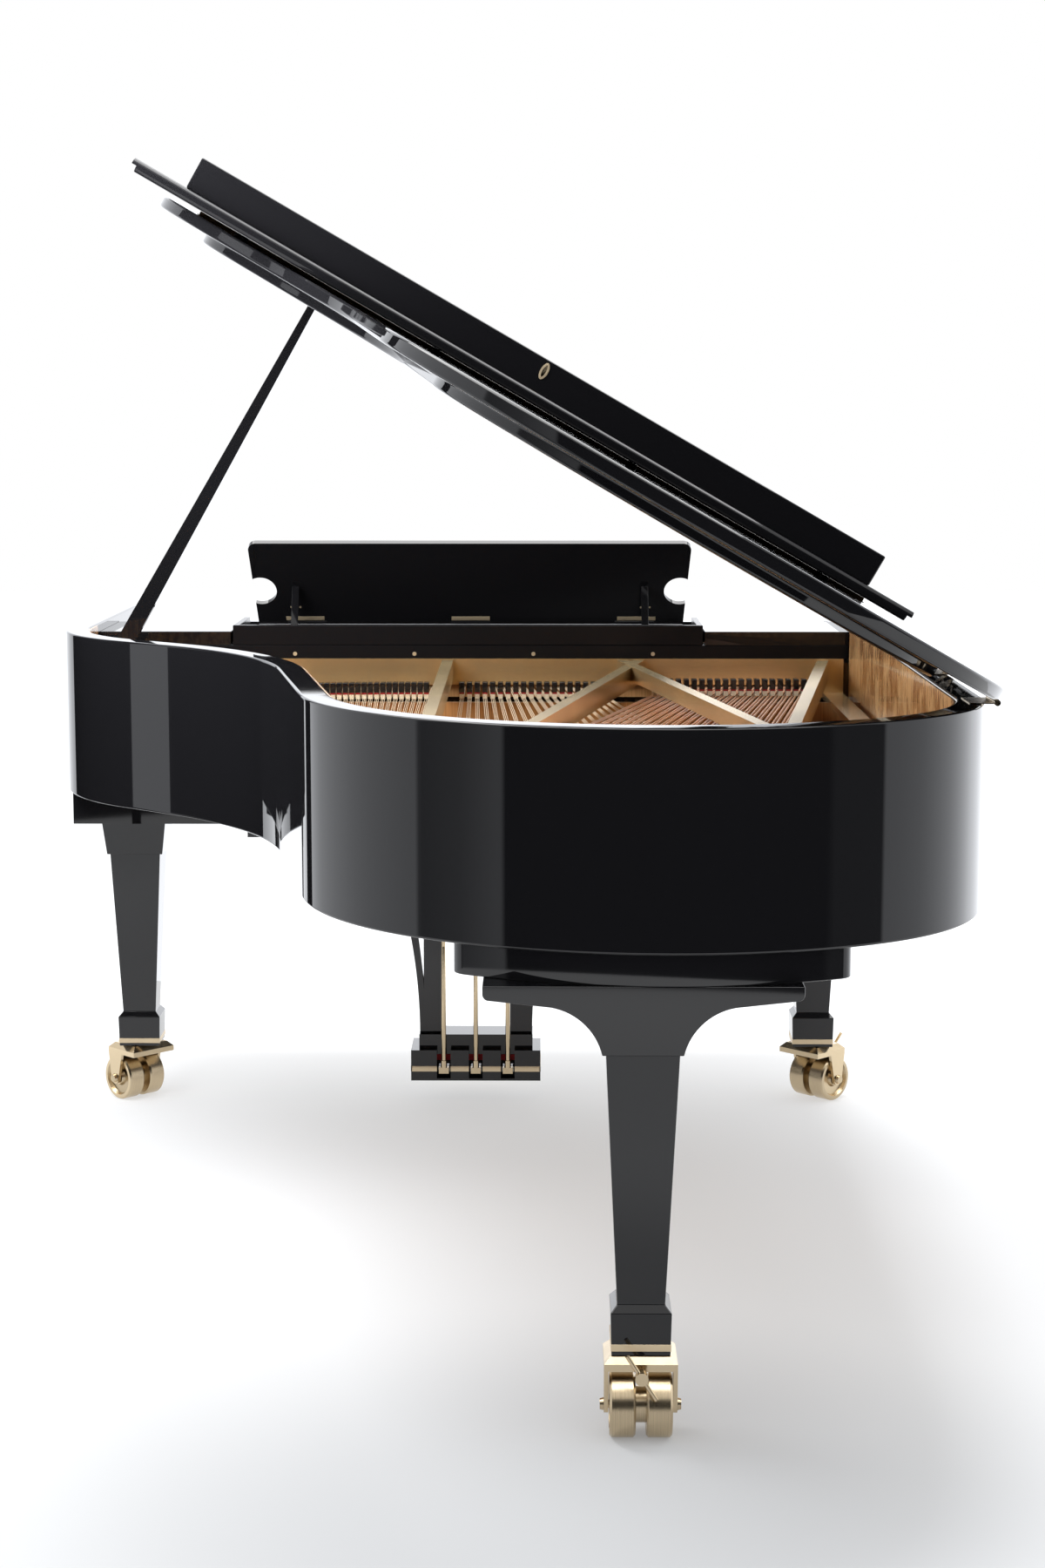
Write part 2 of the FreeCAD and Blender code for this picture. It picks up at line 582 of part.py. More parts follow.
def make_plate():
    lip_front = S.deck_back - S.deck_lip
    flange_top = S.plate_bottom + S.plate_wall
    ring_inset = S.plate_inset + S.plate_ring
    flange = band(S.plate_inset, ring_inset, lip_front, S.plate_bottom, flange_top)
    half = SIDE - S.plate_inset
    deck = Part.makeBox(2 * half, S.deck_rear - S.deck_front, S.deck_wall,
                        V(-half, FRONT + S.deck_front, S.deck_top - S.deck_wall))
    lip = Part.makeBox(2 * half, S.deck_lip, S.deck_lip_drop, V(-half, lip_front, S.deck_top - S.deck_lip_drop))
    ends = [Part.makeBox(S.plate_ring, S.deck_lip, S.deck_top - S.plate_bottom, V(x, lip_front, S.plate_bottom))
            for x in (-half, half - S.plate_ring)]
    bar_top = S.deck_top - 2
    bar_end = S.deck_top - S.bar_drop
    level = ((bar_top - S.bar_height, bar_top), (bar_end - S.bar_height, bar_end))
    raised = ((S.deck_top - 0.75 * S.bar_height, bar_top),) * 2
    joint = spot(-0.646, 0.690)
    # Each bar: its share across at the deck, where it ends, and whether it passes over the bass strings.
    runs = ((0.066, spot(0.066, 1.05), level), (-0.421, spot(0.085, 1.05), level), (-0.371, joint, raised),
            (-0.884, joint, level), (None, spot(-0.646, 1.05), level))
    room = slab(S.plate_inset, lip_front, S.plate_bottom, S.deck_top)
    seat = band(S.plate_inset, ring_inset, lip_front, S.plate_bottom, S.deck_top)
    bars = []
    for across, end, profile in runs:
        start = V(across * SIDE, lip_front + 2, 0) if across is not None else joint - V(0, S.bar_width, 0)
        bars.append(bar(start[:2], end[:2], S.bar_width, profile).common(room))
        if end is not joint:
            foot = bar(start[:2], end[:2], S.bar_width, ((S.plate_bottom, bar_end), (S.plate_bottom, bar_end)))
            bars += [piece for piece in foot.common(seat).Solids if piece.CenterOfMass.y > joint.y]
    peg = S.plate_inset + S.plate_ring / 2
    peg_places = [(-SIDE + peg, spot(0, along).y) for along in (0.18, 0.46, 0.69)] + [(SIDE - peg, lip_front + S.peg_offset)]
    pegs = [Part.makeCylinder(S.plate_ring / 2 - 4, S.plate_lift, V(x, y, S.soundboard_top)) for x, y in peg_places]
    body = flange.multiFuse([deck, lip] + ends + bars + pegs)
    node("iron_plate", feature("IronPlate", body.removeSplitter()))
    node("pin_block", block("PinBlock", ("-side + rim_wall", "side - rim_wall"),
                            ("front + deck_front", "front + deck_rear - deck_lip"),
                            ("deck_top - deck_wall - pin_block_height", "deck_top - deck_wall")))
    pins = []
    rows, columns = 4, 55
    first_row, row_step = FRONT + S.deck_front + 36, 30
    for row in range(rows):
        for column in range(columns):
            x = 0.842 * SIDE * (2 * (column + row / rows) / columns - 1)
            pins.append(Part.makeCylinder(S.tuning_pin_radius, S.tuning_pin_height,
                                          V(x, first_row + row * row_step, S.deck_top)))
    node("tuning_pins", feature("TuningPins", Part.makeCompound(pins)))


def make_stretcher():
    rear = "front + deck_rear - 6"
    node("stretcher", block("Stretcher", ("-side + rim_wall", "side - rim_wall"), (f"{rear} - stretcher_depth", rear),
                            ("deck_top", "stretcher_top")))
    shelves = []
    for name, low, high in (("Treble", "tray_shift + tray_half + tray_gap", "side - rim_wall"),
                            ("Bass", "-side + rim_wall", "tray_shift - tray_half - tray_gap")):
        shelves.append(block("Shelf" + name, (low, high), ("front + shelf_front", rear),
                             ("stretcher_top", "stretcher_top + shelf_wall")))
    node("side_shelves", group("SideShelves", shelves))


# Keyboard
BLACK_AFTER = (0, 1, 3, 4, 5)
FIRST_LETTER = 5


def black_places():
    """Indices of the gaps between white keys that hold a black key; the lowest white key is an A."""
    letters = [(index + FIRST_LETTER) % 7 for index in range(int(S.key_count))]
    return [index for index in range(int(S.key_count) - 1) if letters[index] in BLACK_AFTER]


def key_solids():
    left = -S.key_count * S.key_pitch / 2
    front = FRONT + S.key_front
    rear = front + S.key_length
    head = front + S.key_head
    show = front + S.key_show
    room = S.black_width / 2 + S.key_gap
    blacks = black_places()
    whites_out, blacks_out = [], []
    for index in range(int(S.key_count)):
        low = left + index * S.key_pitch + S.key_gap / 2
        high = low + S.key_pitch - S.key_gap
        tail_low = left + index * S.key_pitch + room if index - 1 in blacks else low
        tail_high = left + (index + 1) * S.key_pitch - room if index in blacks else high
        for end, bottom, top in ((rear, S.key_bottom, S.key_bottom + S.key_stick),
                                 (show, S.key_bottom + S.key_stick, S.key_bottom + S.key_stick + S.key_cover)):
            plan = [(low, front), (high, front), (high, head), (tail_high, head), (tail_high, end),
                    (tail_low, end), (tail_low, head), (low, head)]
            kept = [point for number, point in enumerate(plan) if point != plan[number - 1]]
            piece = prism([(x, y, bottom) for x, y in kept], (0, 0, top - bottom))
            if bottom == S.key_bottom:
                stick = piece
        whites_out.append(stick.fuse(piece).removeSplitter())
    for index in blacks:
        middle = left + (index + 1) * S.key_pitch
        half = S.black_width / 2
        start = front + S.black_setback
        stick = Part.makeBox(S.black_width, rear - start, S.key_stick, V(middle - half, start, S.key_bottom))
        slope = S.black_rise / 2
        top = S.key_bottom + S.key_stick + S.black_rise
        cover = prism([(middle - half, start, S.key_bottom + S.key_stick),
                       (middle - half, show, S.key_bottom + S.key_stick), (middle - half, show, top),
                       (middle - half, start + slope, top)], (S.black_width, 0, 0))
        blacks_out.append(stick.fuse(cover).removeSplitter())
    return whites_out, blacks_out


def hammer_solid(x):
    pivot = V(x, FRONT + S.hammer_pivot_back, S.hammer_pivot_height)
    half = S.shank_half
    flange = Part.makeCylinder(half, 2 * half, pivot - V(half, 0, 0), V(1, 0, 0))
    shank = Part.makeBox(2 * half, S.hammer_length, 2 * half, pivot - V(half, 0, half))
    end = pivot.y + S.hammer_length
    head = prism([(x - half, end - 14, pivot.z - half), (x - half, end + 14, pivot.z - half),
                  (x - half, end + 14, pivot.z + S.hammer_rise - 12), (x - half, end + 4, pivot.z + S.hammer_rise),
                  (x - half, end - 4, pivot.z + S.hammer_rise),
                  (x - half, end - 14, pivot.z + S.hammer_rise - 12)], (2 * half, 0, 0))
    return flange.fuse([shank, head]).removeSplitter()


def make_keyboard():
    whites, blacks = key_solids()
    node("white_keys", feature("WhiteKeys", Part.makeCompound(whites)))
    node("black_keys", feature("BlackKeys", Part.makeCompound(blacks)))
    left = -S.key_count * S.key_pitch / 2
    whites_at = [left + (index + 0.5) * S.key_pitch for index in range(int(S.key_count))]
    blacks_at = [left + (index + 1) * S.key_pitch for index in black_places()]
    node("white_hammers", feature("WhiteHammers", Part.makeCompound([hammer_solid(x) for x in whites_at])))
    node("black_hammers", feature("BlackHammers", Part.makeCompound([hammer_solid(x) for x in blacks_at])))
    floor = "rim_bottom + seat_gap"
    wide = ("-key_frame_half", "key_frame_half")
    rear = "front + key_front + key_length"
    balance = "front + key_front + balance_back"
    rails = [block("FrontRail", wide, ("front + key_front + 12", "front + key_front + 52"),
                   (floor, "rim_bottom + key_rail")),
             block("BalanceRail", wide, (f"{balance} - 20", f"{balance} + 20"), (floor, "rim_bottom + key_rail")),
             block("BalanceRidge", wide, (f"{balance} - 2", f"{balance} + 2"),
                   ("rim_bottom + key_rail - 1", "key_bottom - seat_gap")),
             block("BackRail", wide, (f"{rear} - 46", rear), (floor, "rim_bottom + key_rail"))]
    for name, low, high in (("Bass", "-key_frame_half", "-key_frame_half + 9"),
                            ("Treble", "key_frame_half - 9", "key_frame_half")):
        rails.append(block("FrameEnd" + name, (low, high), ("front + key_front + 12", rear),
                           (floor, "rim_bottom + key_rail")))
    node("key_frame", fuse("KeyFrame", rails))
    rail_rear = "front + hammer_pivot_back - shank_half - seat_gap"
    pieces = [block("HammerRail", wide, (f"{rail_rear} - 22", rail_rear),
                    ("hammer_pivot_height - 10", "hammer_pivot_height + 10"))]
    for name, low, high in (("Bass", "-key_frame_half", "-key_frame_half + 9"),
                            ("Treble", "key_frame_half - 9", "key_frame_half")):
        pieces.append(block("ActionStand" + name, (low, high), (f"{rail_rear} - 22", rail_rear),
                            ("rim_bottom + key_rail", "hammer_pivot_height - 9")))
    node("action_rail", fuse("ActionRail", pieces))


def make_keybed():
    bed = block("KeybedBoard", ("-side + keybed_margin", "side - keybed_margin"), ("front", "front + keybed_depth"),
                ("keybed_bottom", "rim_bottom"))
    beam_rear = "front + lyre_place + lyre_depth / 2 - 2 * rod_setback - cup_radius - 1"
    beam = block("LyreBeam", ("-lyre_beam_half", "lyre_beam_half"),
                 ("front + lyre_place - lyre_depth / 2", beam_rear),
                 ("keybed_bottom - lyre_beam_drop", "keybed_bottom"))
    holes = [rod(f"RodHole{number}", (f"{number - 1} * pedal_pitch",
                                      "front + lyre_place + lyre_depth / 2 - rod_setback", "keybed_bottom - 1"),
                 "rod_hole_radius", "rim_bottom - keybed_bottom + 2") for number in range(3)]
    node("keybed", cut("Keybed", fuse("KeybedWhole", [bed, beam]), holes))
    node("keyslip", block("Keyslip", ("-side + rim_wall", "side - rim_wall"),
                          ("front + keyslip_setback", "front + keyslip_setback + keyslip_wall"),
                          ("rim_bottom", "rim_bottom + keyslip_rise")))
    cheeks = []
    for name, low, high in (("Bass", "-side + rim_wall", "-key_frame_half - key_shift"),
                            ("Treble", "key_frame_half + key_shift", "side - rim_wall")):
        cheeks.append(block("Cheek" + name, (low, high),
                            ("front + keyslip_setback + keyslip_wall", "front + cheek_rear"),
                            ("rim_bottom", "rim_bottom + cheek_rise")))
    node("cheek_blocks", group("CheekBlocks", cheeks))


def make_fallboard():
    end_gap = 10
    place = ("front + fallboard_pivot", "fallboard_lift")
    board = block("FallboardBoard", (f"-side + rim_wall + {end_gap}", f"side - rim_wall - {end_gap}"),
                  (f"{place[0]} - fallboard_wall / 2", f"{place[0]} + fallboard_wall / 2"),
                  ("fallboard_lift - fallboard_wall / 2", "fallboard_lift + fallboard_height"))
    bores, pins = [], []
    for name, sign in (("Bass", "-"), ("Treble", "")):
        direction = V(1, 0, 0) if name == "Bass" else V(-1, 0, 0)
        start = (f"{sign}(side - rim_wall)", place[0], place[1])
        bores.append(rod("FallboardBore" + name, start, "pivot_pin_radius + running_gap",
                         "pivot_pin_length + 1", direction))
        pins.append(rod("FallboardPin" + name, start, "pivot_pin_radius", "pivot_pin_length", direction))
    node("fallboard", cut("Fallboard", board, bores))
    node("fallboard_pivots", group("FallboardPivots", pins))


# Dampers
def make_dampers():
    place = S.deck_back + S.damper_back
    heads, felts = [], []
    for start, end, height, radius in string_runs()[:BASS_NOTES + TENOR_NOTES + DAMPED_TREBLE_NOTES]:
        share = (place - start.y) / (end.y - start.y)
        x = start.x + (end.x - start.x) * share
        rest = S.soundboard_top + S.string_lift + (height - S.string_lift) * share + radius + S.seat_gap
        felts.append(Part.makeBox(S.damper_width - 2, S.damper_depth - 2, S.damper_felt,
                                  V(x - S.damper_width / 2 + 1, place - S.damper_depth / 2 + 1, rest)))
        heads.append(Part.makeBox(S.damper_width, S.damper_depth, S.damper_height,
                                  V(x - S.damper_width / 2, place - S.damper_depth / 2, rest + S.damper_felt)))
    node("damper_heads", feature("DamperHeads", Part.makeCompound(heads)))
    node("damper_felts", feature("DamperFelts", Part.makeCompound(felts)))


# Lyre and pedals
PEDALS = (("left", -1), ("middle", 0), ("right", 1))


def make_lyre():
    front_face = "front + lyre_place - lyre_depth / 2"
    rear_face = "front + lyre_place + lyre_depth / 2"
    notch_front = f"{rear_face} - 2 * rod_setback - cup_radius - 1"
    base = block("PedalBoxBase", ("-lyre_half", "lyre_half"), (front_face, rear_face),
                 ("box_bottom", "box_bottom + box_height"))
    tier = block("PedalBoxTier", ("-lyre_half + 16", "lyre_half - 16"), (f"{front_face} + 10", notch_front),
                 ("box_bottom + box_height", "box_bottom + box_height + box_tier"))
    slots = []
    for name, step in PEDALS:
        wide = (f"{step} * pedal_pitch - pedal_slot / 2", f"{step} * pedal_pitch + pedal_slot / 2")
        slots.append(block(f"Slot_{name}", wide, (f"{front_face} - 1", f"{rear_face} + 1"),
                           ("box_bottom + 4.5", "box_bottom + box_height - 13")))
        slots.append(block(f"Notch_{name}", wide, (notch_front, f"{rear_face} + 1"),
                           ("box_bottom + 4.5", "box_bottom + box_height + 1")))
    pin = rod("PedalPin", ("-lyre_half + 4", "front + lyre_place", "pedal_height + pedal_wall / 2"),
              "pedal_pin_radius", "2 * lyre_half - 8", V(1, 0, 0))
    carved = cut("PedalBoxCarved", fuse("PedalBoxWhole", [base, tier]), slots)
    node("pedal_box", fuse("PedalBox", [carved, pin]))
    tier_top = "box_bottom + box_height + box_tier"
    block_top = "keybed_bottom - lyre_beam_drop"
    pieces = [block("LyreTop", ("-lyre_half - 55", "lyre_half + 55"), (front_face, notch_front),
                    (f"{block_top} - lyre_block", block_top))]
    foot_z = S.box_bottom + S.box_height + S.box_tier
    top_z = S.keybed_bottom - S.lyre_beam_drop - S.lyre_block
    middle = FRONT + S.lyre_place
    inner = S.post_place + S.post_width / 2 + 2
    columns = []
    for sign in (-1, 1):
        name = "Bass" if sign < 0 else "Treble"
        centre = f"{sign} * post_place"
        pieces.append(block("LyrePost" + name, (f"{centre} - post_width / 2", f"{centre} + post_width / 2"),
                            ("front + lyre_place - post_width / 2", "front + lyre_place + post_width / 2"),
                            (tier_top, f"{block_top} - lyre_block")))
        foot_in, foot_out = inner - 6, inner - 6 + S.column_foot
        top_in, top_out = inner + S.column_flare, inner + S.column_flare + S.column_top
        bow = 0.35
        bend = foot_z + bow * (top_z - foot_z)
        low = V(sign * foot_in, middle - S.post_width / 2, foot_z)
        outer = Part.Arc(V(sign * foot_out, low.y, foot_z),
                         V(sign * (foot_out + (top_out - foot_out) * bow * bow), low.y, bend),
                         V(sign * top_out, low.y, top_z)).toShape()
        inside = Part.Arc(V(sign * top_in, low.y, top_z),
                          V(sign * (foot_in + (top_in - foot_in) * bow * bow), low.y, bend), low).toShape()
        edges = [outer, Part.LineSegment(V(sign * top_out, low.y, top_z), V(sign * top_in, low.y, top_z)).toShape(),
                 inside, Part.LineSegment(low, V(sign * foot_out, low.y, foot_z)).toShape()]
        column = Part.Face(Part.Wire(Part.__sortEdges__(edges))).extrude(V(0, S.post_width, 0))
        columns.append(feature("LyreColumn" + name, column))
    node("lyre_frame", fuse("LyreFrame", pieces + columns))


def make_pedals():
    front_face = FRONT + S.lyre_place - S.lyre_depth / 2
    rear = FRONT + S.lyre_place + S.lyre_depth / 2 - 2
    tip = front_face - S.pedal_reach
    stem, toe = S.pedal_stem / 2, S.pedal_toe / 2
    pivot = V(0, FRONT + S.lyre_place, S.pedal_height + S.pedal_wall / 2)
    rod_y = FRONT + S.lyre_place + S.lyre_depth / 2 - S.rod_setback
    for name, step in PEDALS:
        x = step * S.pedal_pitch
        z = S.pedal_height
        corners = [V(x + toe, tip + toe, z), V(x + toe, tip + S.toe_length, z), V(x + stem, front_face - 12, z),
                   V(x + stem, rear, z), V(x - stem, rear, z), V(x - stem, front_face - 12, z),
                   V(x - toe, tip + S.toe_length, z), V(x - toe, tip + toe, z)]
        edges = [Part.LineSegment(a, b).toShape() for a, b in zip(corners, corners[1:])]
        edges.append(Part.Arc(corners[-1], V(x, tip, z), corners[0]).toShape())
        plate = Part.Face(Part.Wire(edges)).extrude(V(0, 0, S.pedal_wall))
        bore = Part.makeCylinder(S.pedal_pin_radius + S.running_gap, S.pedal_toe * 2,
                                 pivot + V(x - S.pedal_toe, 0, 0), V(1, 0, 0))
        node(f"{name}_pedal", feature(f"Pedal_{name}", plate.cut(bore)))
        foot = S.pedal_height + S.pedal_wall + S.seat_gap
        cup = Part.makeCylinder(S.cup_radius, S.cup_height, V(x, rod_y, foot))
        wire = Part.makeCylinder(S.rod_radius, S.keybed_bottom + S.rod_entry - foot, V(x, rod_y, foot))
        node(f"{name}_pedal_rod", feature(f"PedalRod_{name}", cup.fuse(wire).removeSplitter()))


# Legs
def make_legs():
    for name, sign in (("treble", ""), ("bass", "-")):
        centre = (f"{sign}leg_place_x", "front + leg_place_y")
        title = name.title()
        pieces = [taper("Foot" + title, centre, "foot_bottom", "foot_top - foot_chamfer", "foot_width - 3",
                        "foot_width"),
                  taper("FootTop" + title, centre, "foot_top - foot_chamfer", "foot_top", "foot_width", "ankle_width"),
                  taper("Shaft" + title, centre, "foot_top", "knee_height", "ankle_width", "knee_width"),
                  taper("Collar" + title, centre, "knee_height", "keybed_bottom", "collar_foot", "collar_top")]
        bore = rod("StemBore" + title, centre + ("foot_bottom - 1",), "stem_radius + running_gap", "stem_length + 2")
        node(f"leg_{name}", cut("Leg" + title, fuse("LegWhole" + title, pieces), [bore]))
    centre = ("tail_leg_x", "tail - tail_leg_y")
    under = "rim_bottom - tail_plate_wall"
    pieces = [taper("FootTail", centre, "foot_bottom", "foot_top - foot_chamfer", "foot_width - 3", "foot_width"),
              taper("FootTopTail", centre, "foot_top - foot_chamfer", "foot_top", "foot_width", "ankle_width"),
              taper("ShaftTail", centre, "foot_top", f"{under} - bracket_drop", "ankle_width", "knee_width")]
    top = S.rim_bottom - S.tail_plate_wall
    ear = top - S.bracket_wall
    knee = top - S.bracket_drop
    half = S.knee_width / 2 + S.bracket_step
    x, y = S.tail_leg_x, TAIL - S.tail_leg_y - half
    rounding = S.bracket_round
    short = rounding * (1 - math.sqrt(0.5))
    edges = []
    for sign in (1, -1):
        start = V(x + sign * half, y, knee)
        end = V(x + sign * (half + S.bracket_curve), y, ear - S.bracket_slope)
        middle = V(x + sign * (half + 0.4 * S.bracket_curve), y, knee + 0.7 * (end.z - knee))
        tip = x + sign * S.bracket_half
        under_tip, side_tip = V(tip - sign * rounding, y, ear), V(tip, y, ear + rounding)
        edges += [Part.Arc(start, middle, end).toShape(), Part.LineSegment(end, under_tip).toShape(),
                  Part.Arc(under_tip, V(tip - sign * short, y, ear + short), side_tip).toShape(),
                  Part.LineSegment(side_tip, V(tip, y, top)).toShape()]
    edges.append(Part.LineSegment(V(x - S.bracket_half, y, top), V(x + S.bracket_half, y, top)).toShape())
    edges.append(Part.LineSegment(V(x - half, y, knee), V(x + half, y, knee)).toShape())
    face = Part.Face(Part.Wire(Part.__sortEdges__(edges)))
    pieces.append(feature("TailBracket", face.extrude(V(0, 2 * half, 0))))
    bore = rod("StemBoreTail", centre + ("foot_bottom - 1",), "stem_radius + running_gap", "stem_length + 2")
    node("leg_tail", cut("LegTail", fuse("LegWholeTail", pieces), [bore]))
    under_plate = S.rim_bottom - S.tail_plate_wall
    board = slab(S.tail_plate_inset, FRONT, under_plate, S.rim_bottom)
    corner = V(x - S.tail_plate_half - S.tail_plate_shift, TAIL - S.tail_plate_depth, under_plate)
    board = board.common(Part.makeBox(2 * S.tail_plate_half, S.tail_plate_depth, S.tail_plate_wall, corner))
    ends = [edge for edge in board.Edges if edge.BoundBox.YLength < 0.01 and edge.BoundBox.XLength < 0.01
            and edge.BoundBox.YMin > corner.y + 1
            and abs(abs(edge.BoundBox.XMin - corner.x - S.tail_plate_half) - S.tail_plate_half) < 0.1]
    board = board.makeFillet(S.tail_plate_round, ends)
    node("tail_leg_plate", feature("TailLegPlate", board))


# Casters
def wheel_solid():
    """Two wheels on one hub and axle along X, ahead of the swivel line."""
    groove, edge = S.wheel_groove / 2, S.wheel_round
    radius, face = S.wheel_radius, S.wheel_half
    rim = radius - S.wheel_rim
    right = [(0, 0), (0, S.wheel_hub_radius), (groove, S.wheel_hub_radius), (groove, radius - edge),
             (groove + edge, radius), (face - edge, radius), (face, radius - edge), (face, rim),
             (face - S.wheel_dish, rim - S.wheel_dish / 2), (face - S.wheel_dish, S.wheel_boss + S.wheel_dish / 2),
             (face, S.wheel_boss), (face, S.axle_radius), (S.fork_half + S.seat_gap, S.axle_radius),
             (S.fork_half + S.seat_gap, S.nut_radius), (S.axle_half, S.nut_radius - 1.5), (S.axle_half, 0)]
    middle = (0, S.trail, S.wheel_radius)
    half = turned([(x, S.trail, S.wheel_radius + r) for x, r in right], middle, (1, 0, 0))
    other = half.mirror(V(*middle), V(1, 0, 0))
    return half.fuse(other).removeSplitter()


def fork_solid():
    """Plate, stem, two cheeks and the brake lug, about the swivel line, with the axle ahead along +Y."""
    top = S.foot_bottom - S.seat_gap
    under = top - S.fork_plate
    plate = Part.makeBox(2 * S.fork_half, S.fork_front + S.fork_rear, S.fork_plate,
                         V(-S.fork_half, -S.fork_rear, under))
    rim_edges = [edge for edge in plate.Edges if all(abs(v.Z - top) < 0.01 for v in edge.Vertexes)]
    plate = plate.makeChamfer(S.fork_plate / 2, rim_edges)
    stem = Part.makeCylinder(S.stem_radius, S.stem_length, V(0, 0, top - 1))
    cheeks = []
    for x in (-S.fork_half, S.fork_half - S.fork_wall):
        profile = [(x, S.trail - 2 * S.cheek_foot, under + 1), (x, S.fork_front, under + 1),
                   (x, S.trail + S.cheek_foot, S.wheel_radius), (x, S.trail - S.cheek_foot, S.wheel_radius)]
        round_end = Part.makeCylinder(S.cheek_foot, S.fork_wall, V(x, S.trail, S.wheel_radius), V(1, 0, 0))
        cheeks.append(prism(profile, (S.fork_wall, 0, 0)).fuse(round_end))
    half = S.brake_lug / 2
    lug_rear, lug_low = S.trail + 6, S.brake_height - S.brake_radius - 8
    lug = Part.makeBox(S.brake_lug, S.fork_front - lug_rear, under + 1 - lug_low, V(-half, lug_rear, lug_low))
    body = plate.multiFuse([stem, lug] + cheeks)
    axle = Part.makeCylinder(S.axle_radius + S.running_gap, 4 * S.fork_half,
                             V(-2 * S.fork_half, S.trail, S.wheel_radius), V(1, 0, 0))
    thread = Part.makeCylinder(S.brake_radius + S.running_gap, 2 * S.fork_front,
                               V(0, 0, S.brake_height), V(0, 1, 0))
    return body.cut(axle.fuse(thread)).removeSplitter()


def brake_solid():
    start = S.trail + 5
    place = V(0, S.brake_knob_place, S.brake_height)
    screw = Part.makeCylinder(S.brake_radius, S.brake_knob_place - start + 1, V(0, start, S.brake_height), V(0, 1, 0))
    knob = Part.makeCylinder(S.brake_knob_radius, S.brake_knob_length, place, V(0, 1, 0))
    slope = math.radians(S.brake_bar_angle)
    along = V(math.cos(slope), 0, math.sin(slope))
    centre = place + V(0, S.brake_knob_length / 2, 0)
    cross = Part.makeCylinder(S.brake_bar_radius, S.brake_bar, centre - along * (S.brake_bar / 2), along)
    return screw.fuse([knob, cross]).removeSplitter()


def make_casters():
    for name, x, y, heading in (("treble", S.leg_place_x, FRONT + S.leg_place_y, S.treble_caster_turn),
                                ("bass", -S.leg_place_x, FRONT + S.leg_place_y, S.bass_caster_turn),
                                ("tail", S.tail_leg_x, TAIL - S.tail_leg_y, 0)):
        place = FreeCAD.Placement(V(x, y, 0), FreeCAD.Rotation(V(0, 0, 1), heading))
        node(f"caster_fork_{name}", feature(f"CasterFork_{name}", fork_solid(), place))
        node(f"caster_wheels_{name}", feature(f"CasterWheels_{name}", wheel_solid(), place))
        node(f"brake_screw_{name}", feature(f"BrakeScrew_{name}", brake_solid(), place))


# Lid
LID_UNDER = S.rim_top + S.lid_gap
LID_TOP = LID_UNDER + S.lid_wall
HINGE_AXIS = V(-SIDE - S.hinge_offset, 0, S.rim_top + S.lid_gap / 2)
LID_TURN = FreeCAD.Rotation(V(0, 1, 0), -S.lid_angle)
LID_PLACE = FreeCAD.Placement(V(0, 0, 0), LID_TURN, HINGE_AXIS)
FLAP_Y = S.deck_back + S.flap_hinge
HINGE_STARTS = [share * S.case_length for share in (-0.079, 0.145, 0.333)]


def spine_knuckle(start, length, radius):
    return Part.makeCylinder(radius, length, V(HINGE_AXIS.x, start, HINGE_AXIS.z), V(0, 1, 0))


def make_lid():
    half = SIDE + S.lid_overhang
    panel = slab(-S.lid_overhang, FLAP_Y + S.flap_seam / 2, LID_UNDER, LID_TOP)
    room = S.hinge_knuckle + 1.5
    for start in HINGE_STARTS:
        panel = panel.cut(Part.makeBox(S.lid_overhang + S.hinge_offset + room, S.hinge_length + 4, 2 * S.lid_wall,
                                       V(-half - S.hinge_offset, start - 2, LID_UNDER - S.lid_wall / 2)))
    board = slab(S.lid_board_inset, FRONT, LID_UNDER - S.lid_board, LID_UNDER)
    ahead = Part.makeBox(4 * half, FLAP_Y + S.lid_board_inset / 4 - FRONT, 4 * S.lid_wall,
                         V(-2 * half, FRONT, LID_UNDER - 2 * S.lid_wall))
    panel = panel.fuse(board.cut(ahead)).removeSplitter()
    node("main_lid", feature("MainLid", panel, LID_PLACE))
    folded_low = LID_TOP + S.flap_stack
    bass_end = -half + S.flap_short
    flap = Part.makeBox(half - bass_end, S.flap_width, S.lid_wall, V(bass_end, FLAP_Y + S.flap_seam / 2, folded_low))
    for x in (bass_end, half - S.flap_step):
        flap = flap.cut(Part.makeBox(S.flap_step, S.flap_width, S.lid_wall / 2, V(x, FLAP_Y + S.flap_seam / 2, folded_low)))
    long_edges = [edge for edge in flap.Edges if all(abs(v.Y - FLAP_Y - S.flap_seam / 2 - S.flap_width) < 0.01
                                                     for v in edge.Vertexes)
                  and abs(edge.Vertexes[0].X - edge.Vertexes[1].X) > half]
    flap = flap.makeFillet(S.lid_wall / 2 - 1, long_edges)
    node("front_flap", feature("FrontFlap", flap, LID_PLACE))
    lip = Part.makeBox(S.lip_length, S.lip_wall, S.lip_height,
                       V(half - S.lip_inset - S.lip_length, FLAP_Y + S.flap_width - S.lip_setback - S.lip_wall, folded_low + S.lid_wall))
    node("flap_lip", feature("FlapLip", lip, LID_PLACE))
    bumpers = [Part.makeCylinder(S.bumper_radius, S.flap_stack - S.seat_gap, V(x, FLAP_Y + S.flap_width * share, LID_TOP))
               for x in (-0.77 * half, -0.26 * half, 0.26 * half, 0.77 * half) for share in (0.35, 0.9)]
    node("lid_bumpers", feature("LidBumpers", Part.makeCompound(bumpers), LID_PLACE))
    axis_z = LID_TOP + S.flap_stack / 2
    spread = half - S.flap_hinge_margin
    knuckles = Part.makeCylinder(S.knuckle_radius, 2 * spread, V(-spread, FLAP_Y, axis_z), V(1, 0, 0))
    leaf = Part.makeBox(2 * spread, 26, S.hinge_leaf, V(-spread, FLAP_Y + S.flap_seam, LID_TOP))
    node("flap_hinge", feature("FlapHinge", knuckles.fuse(leaf).removeSplitter(), LID_PLACE))


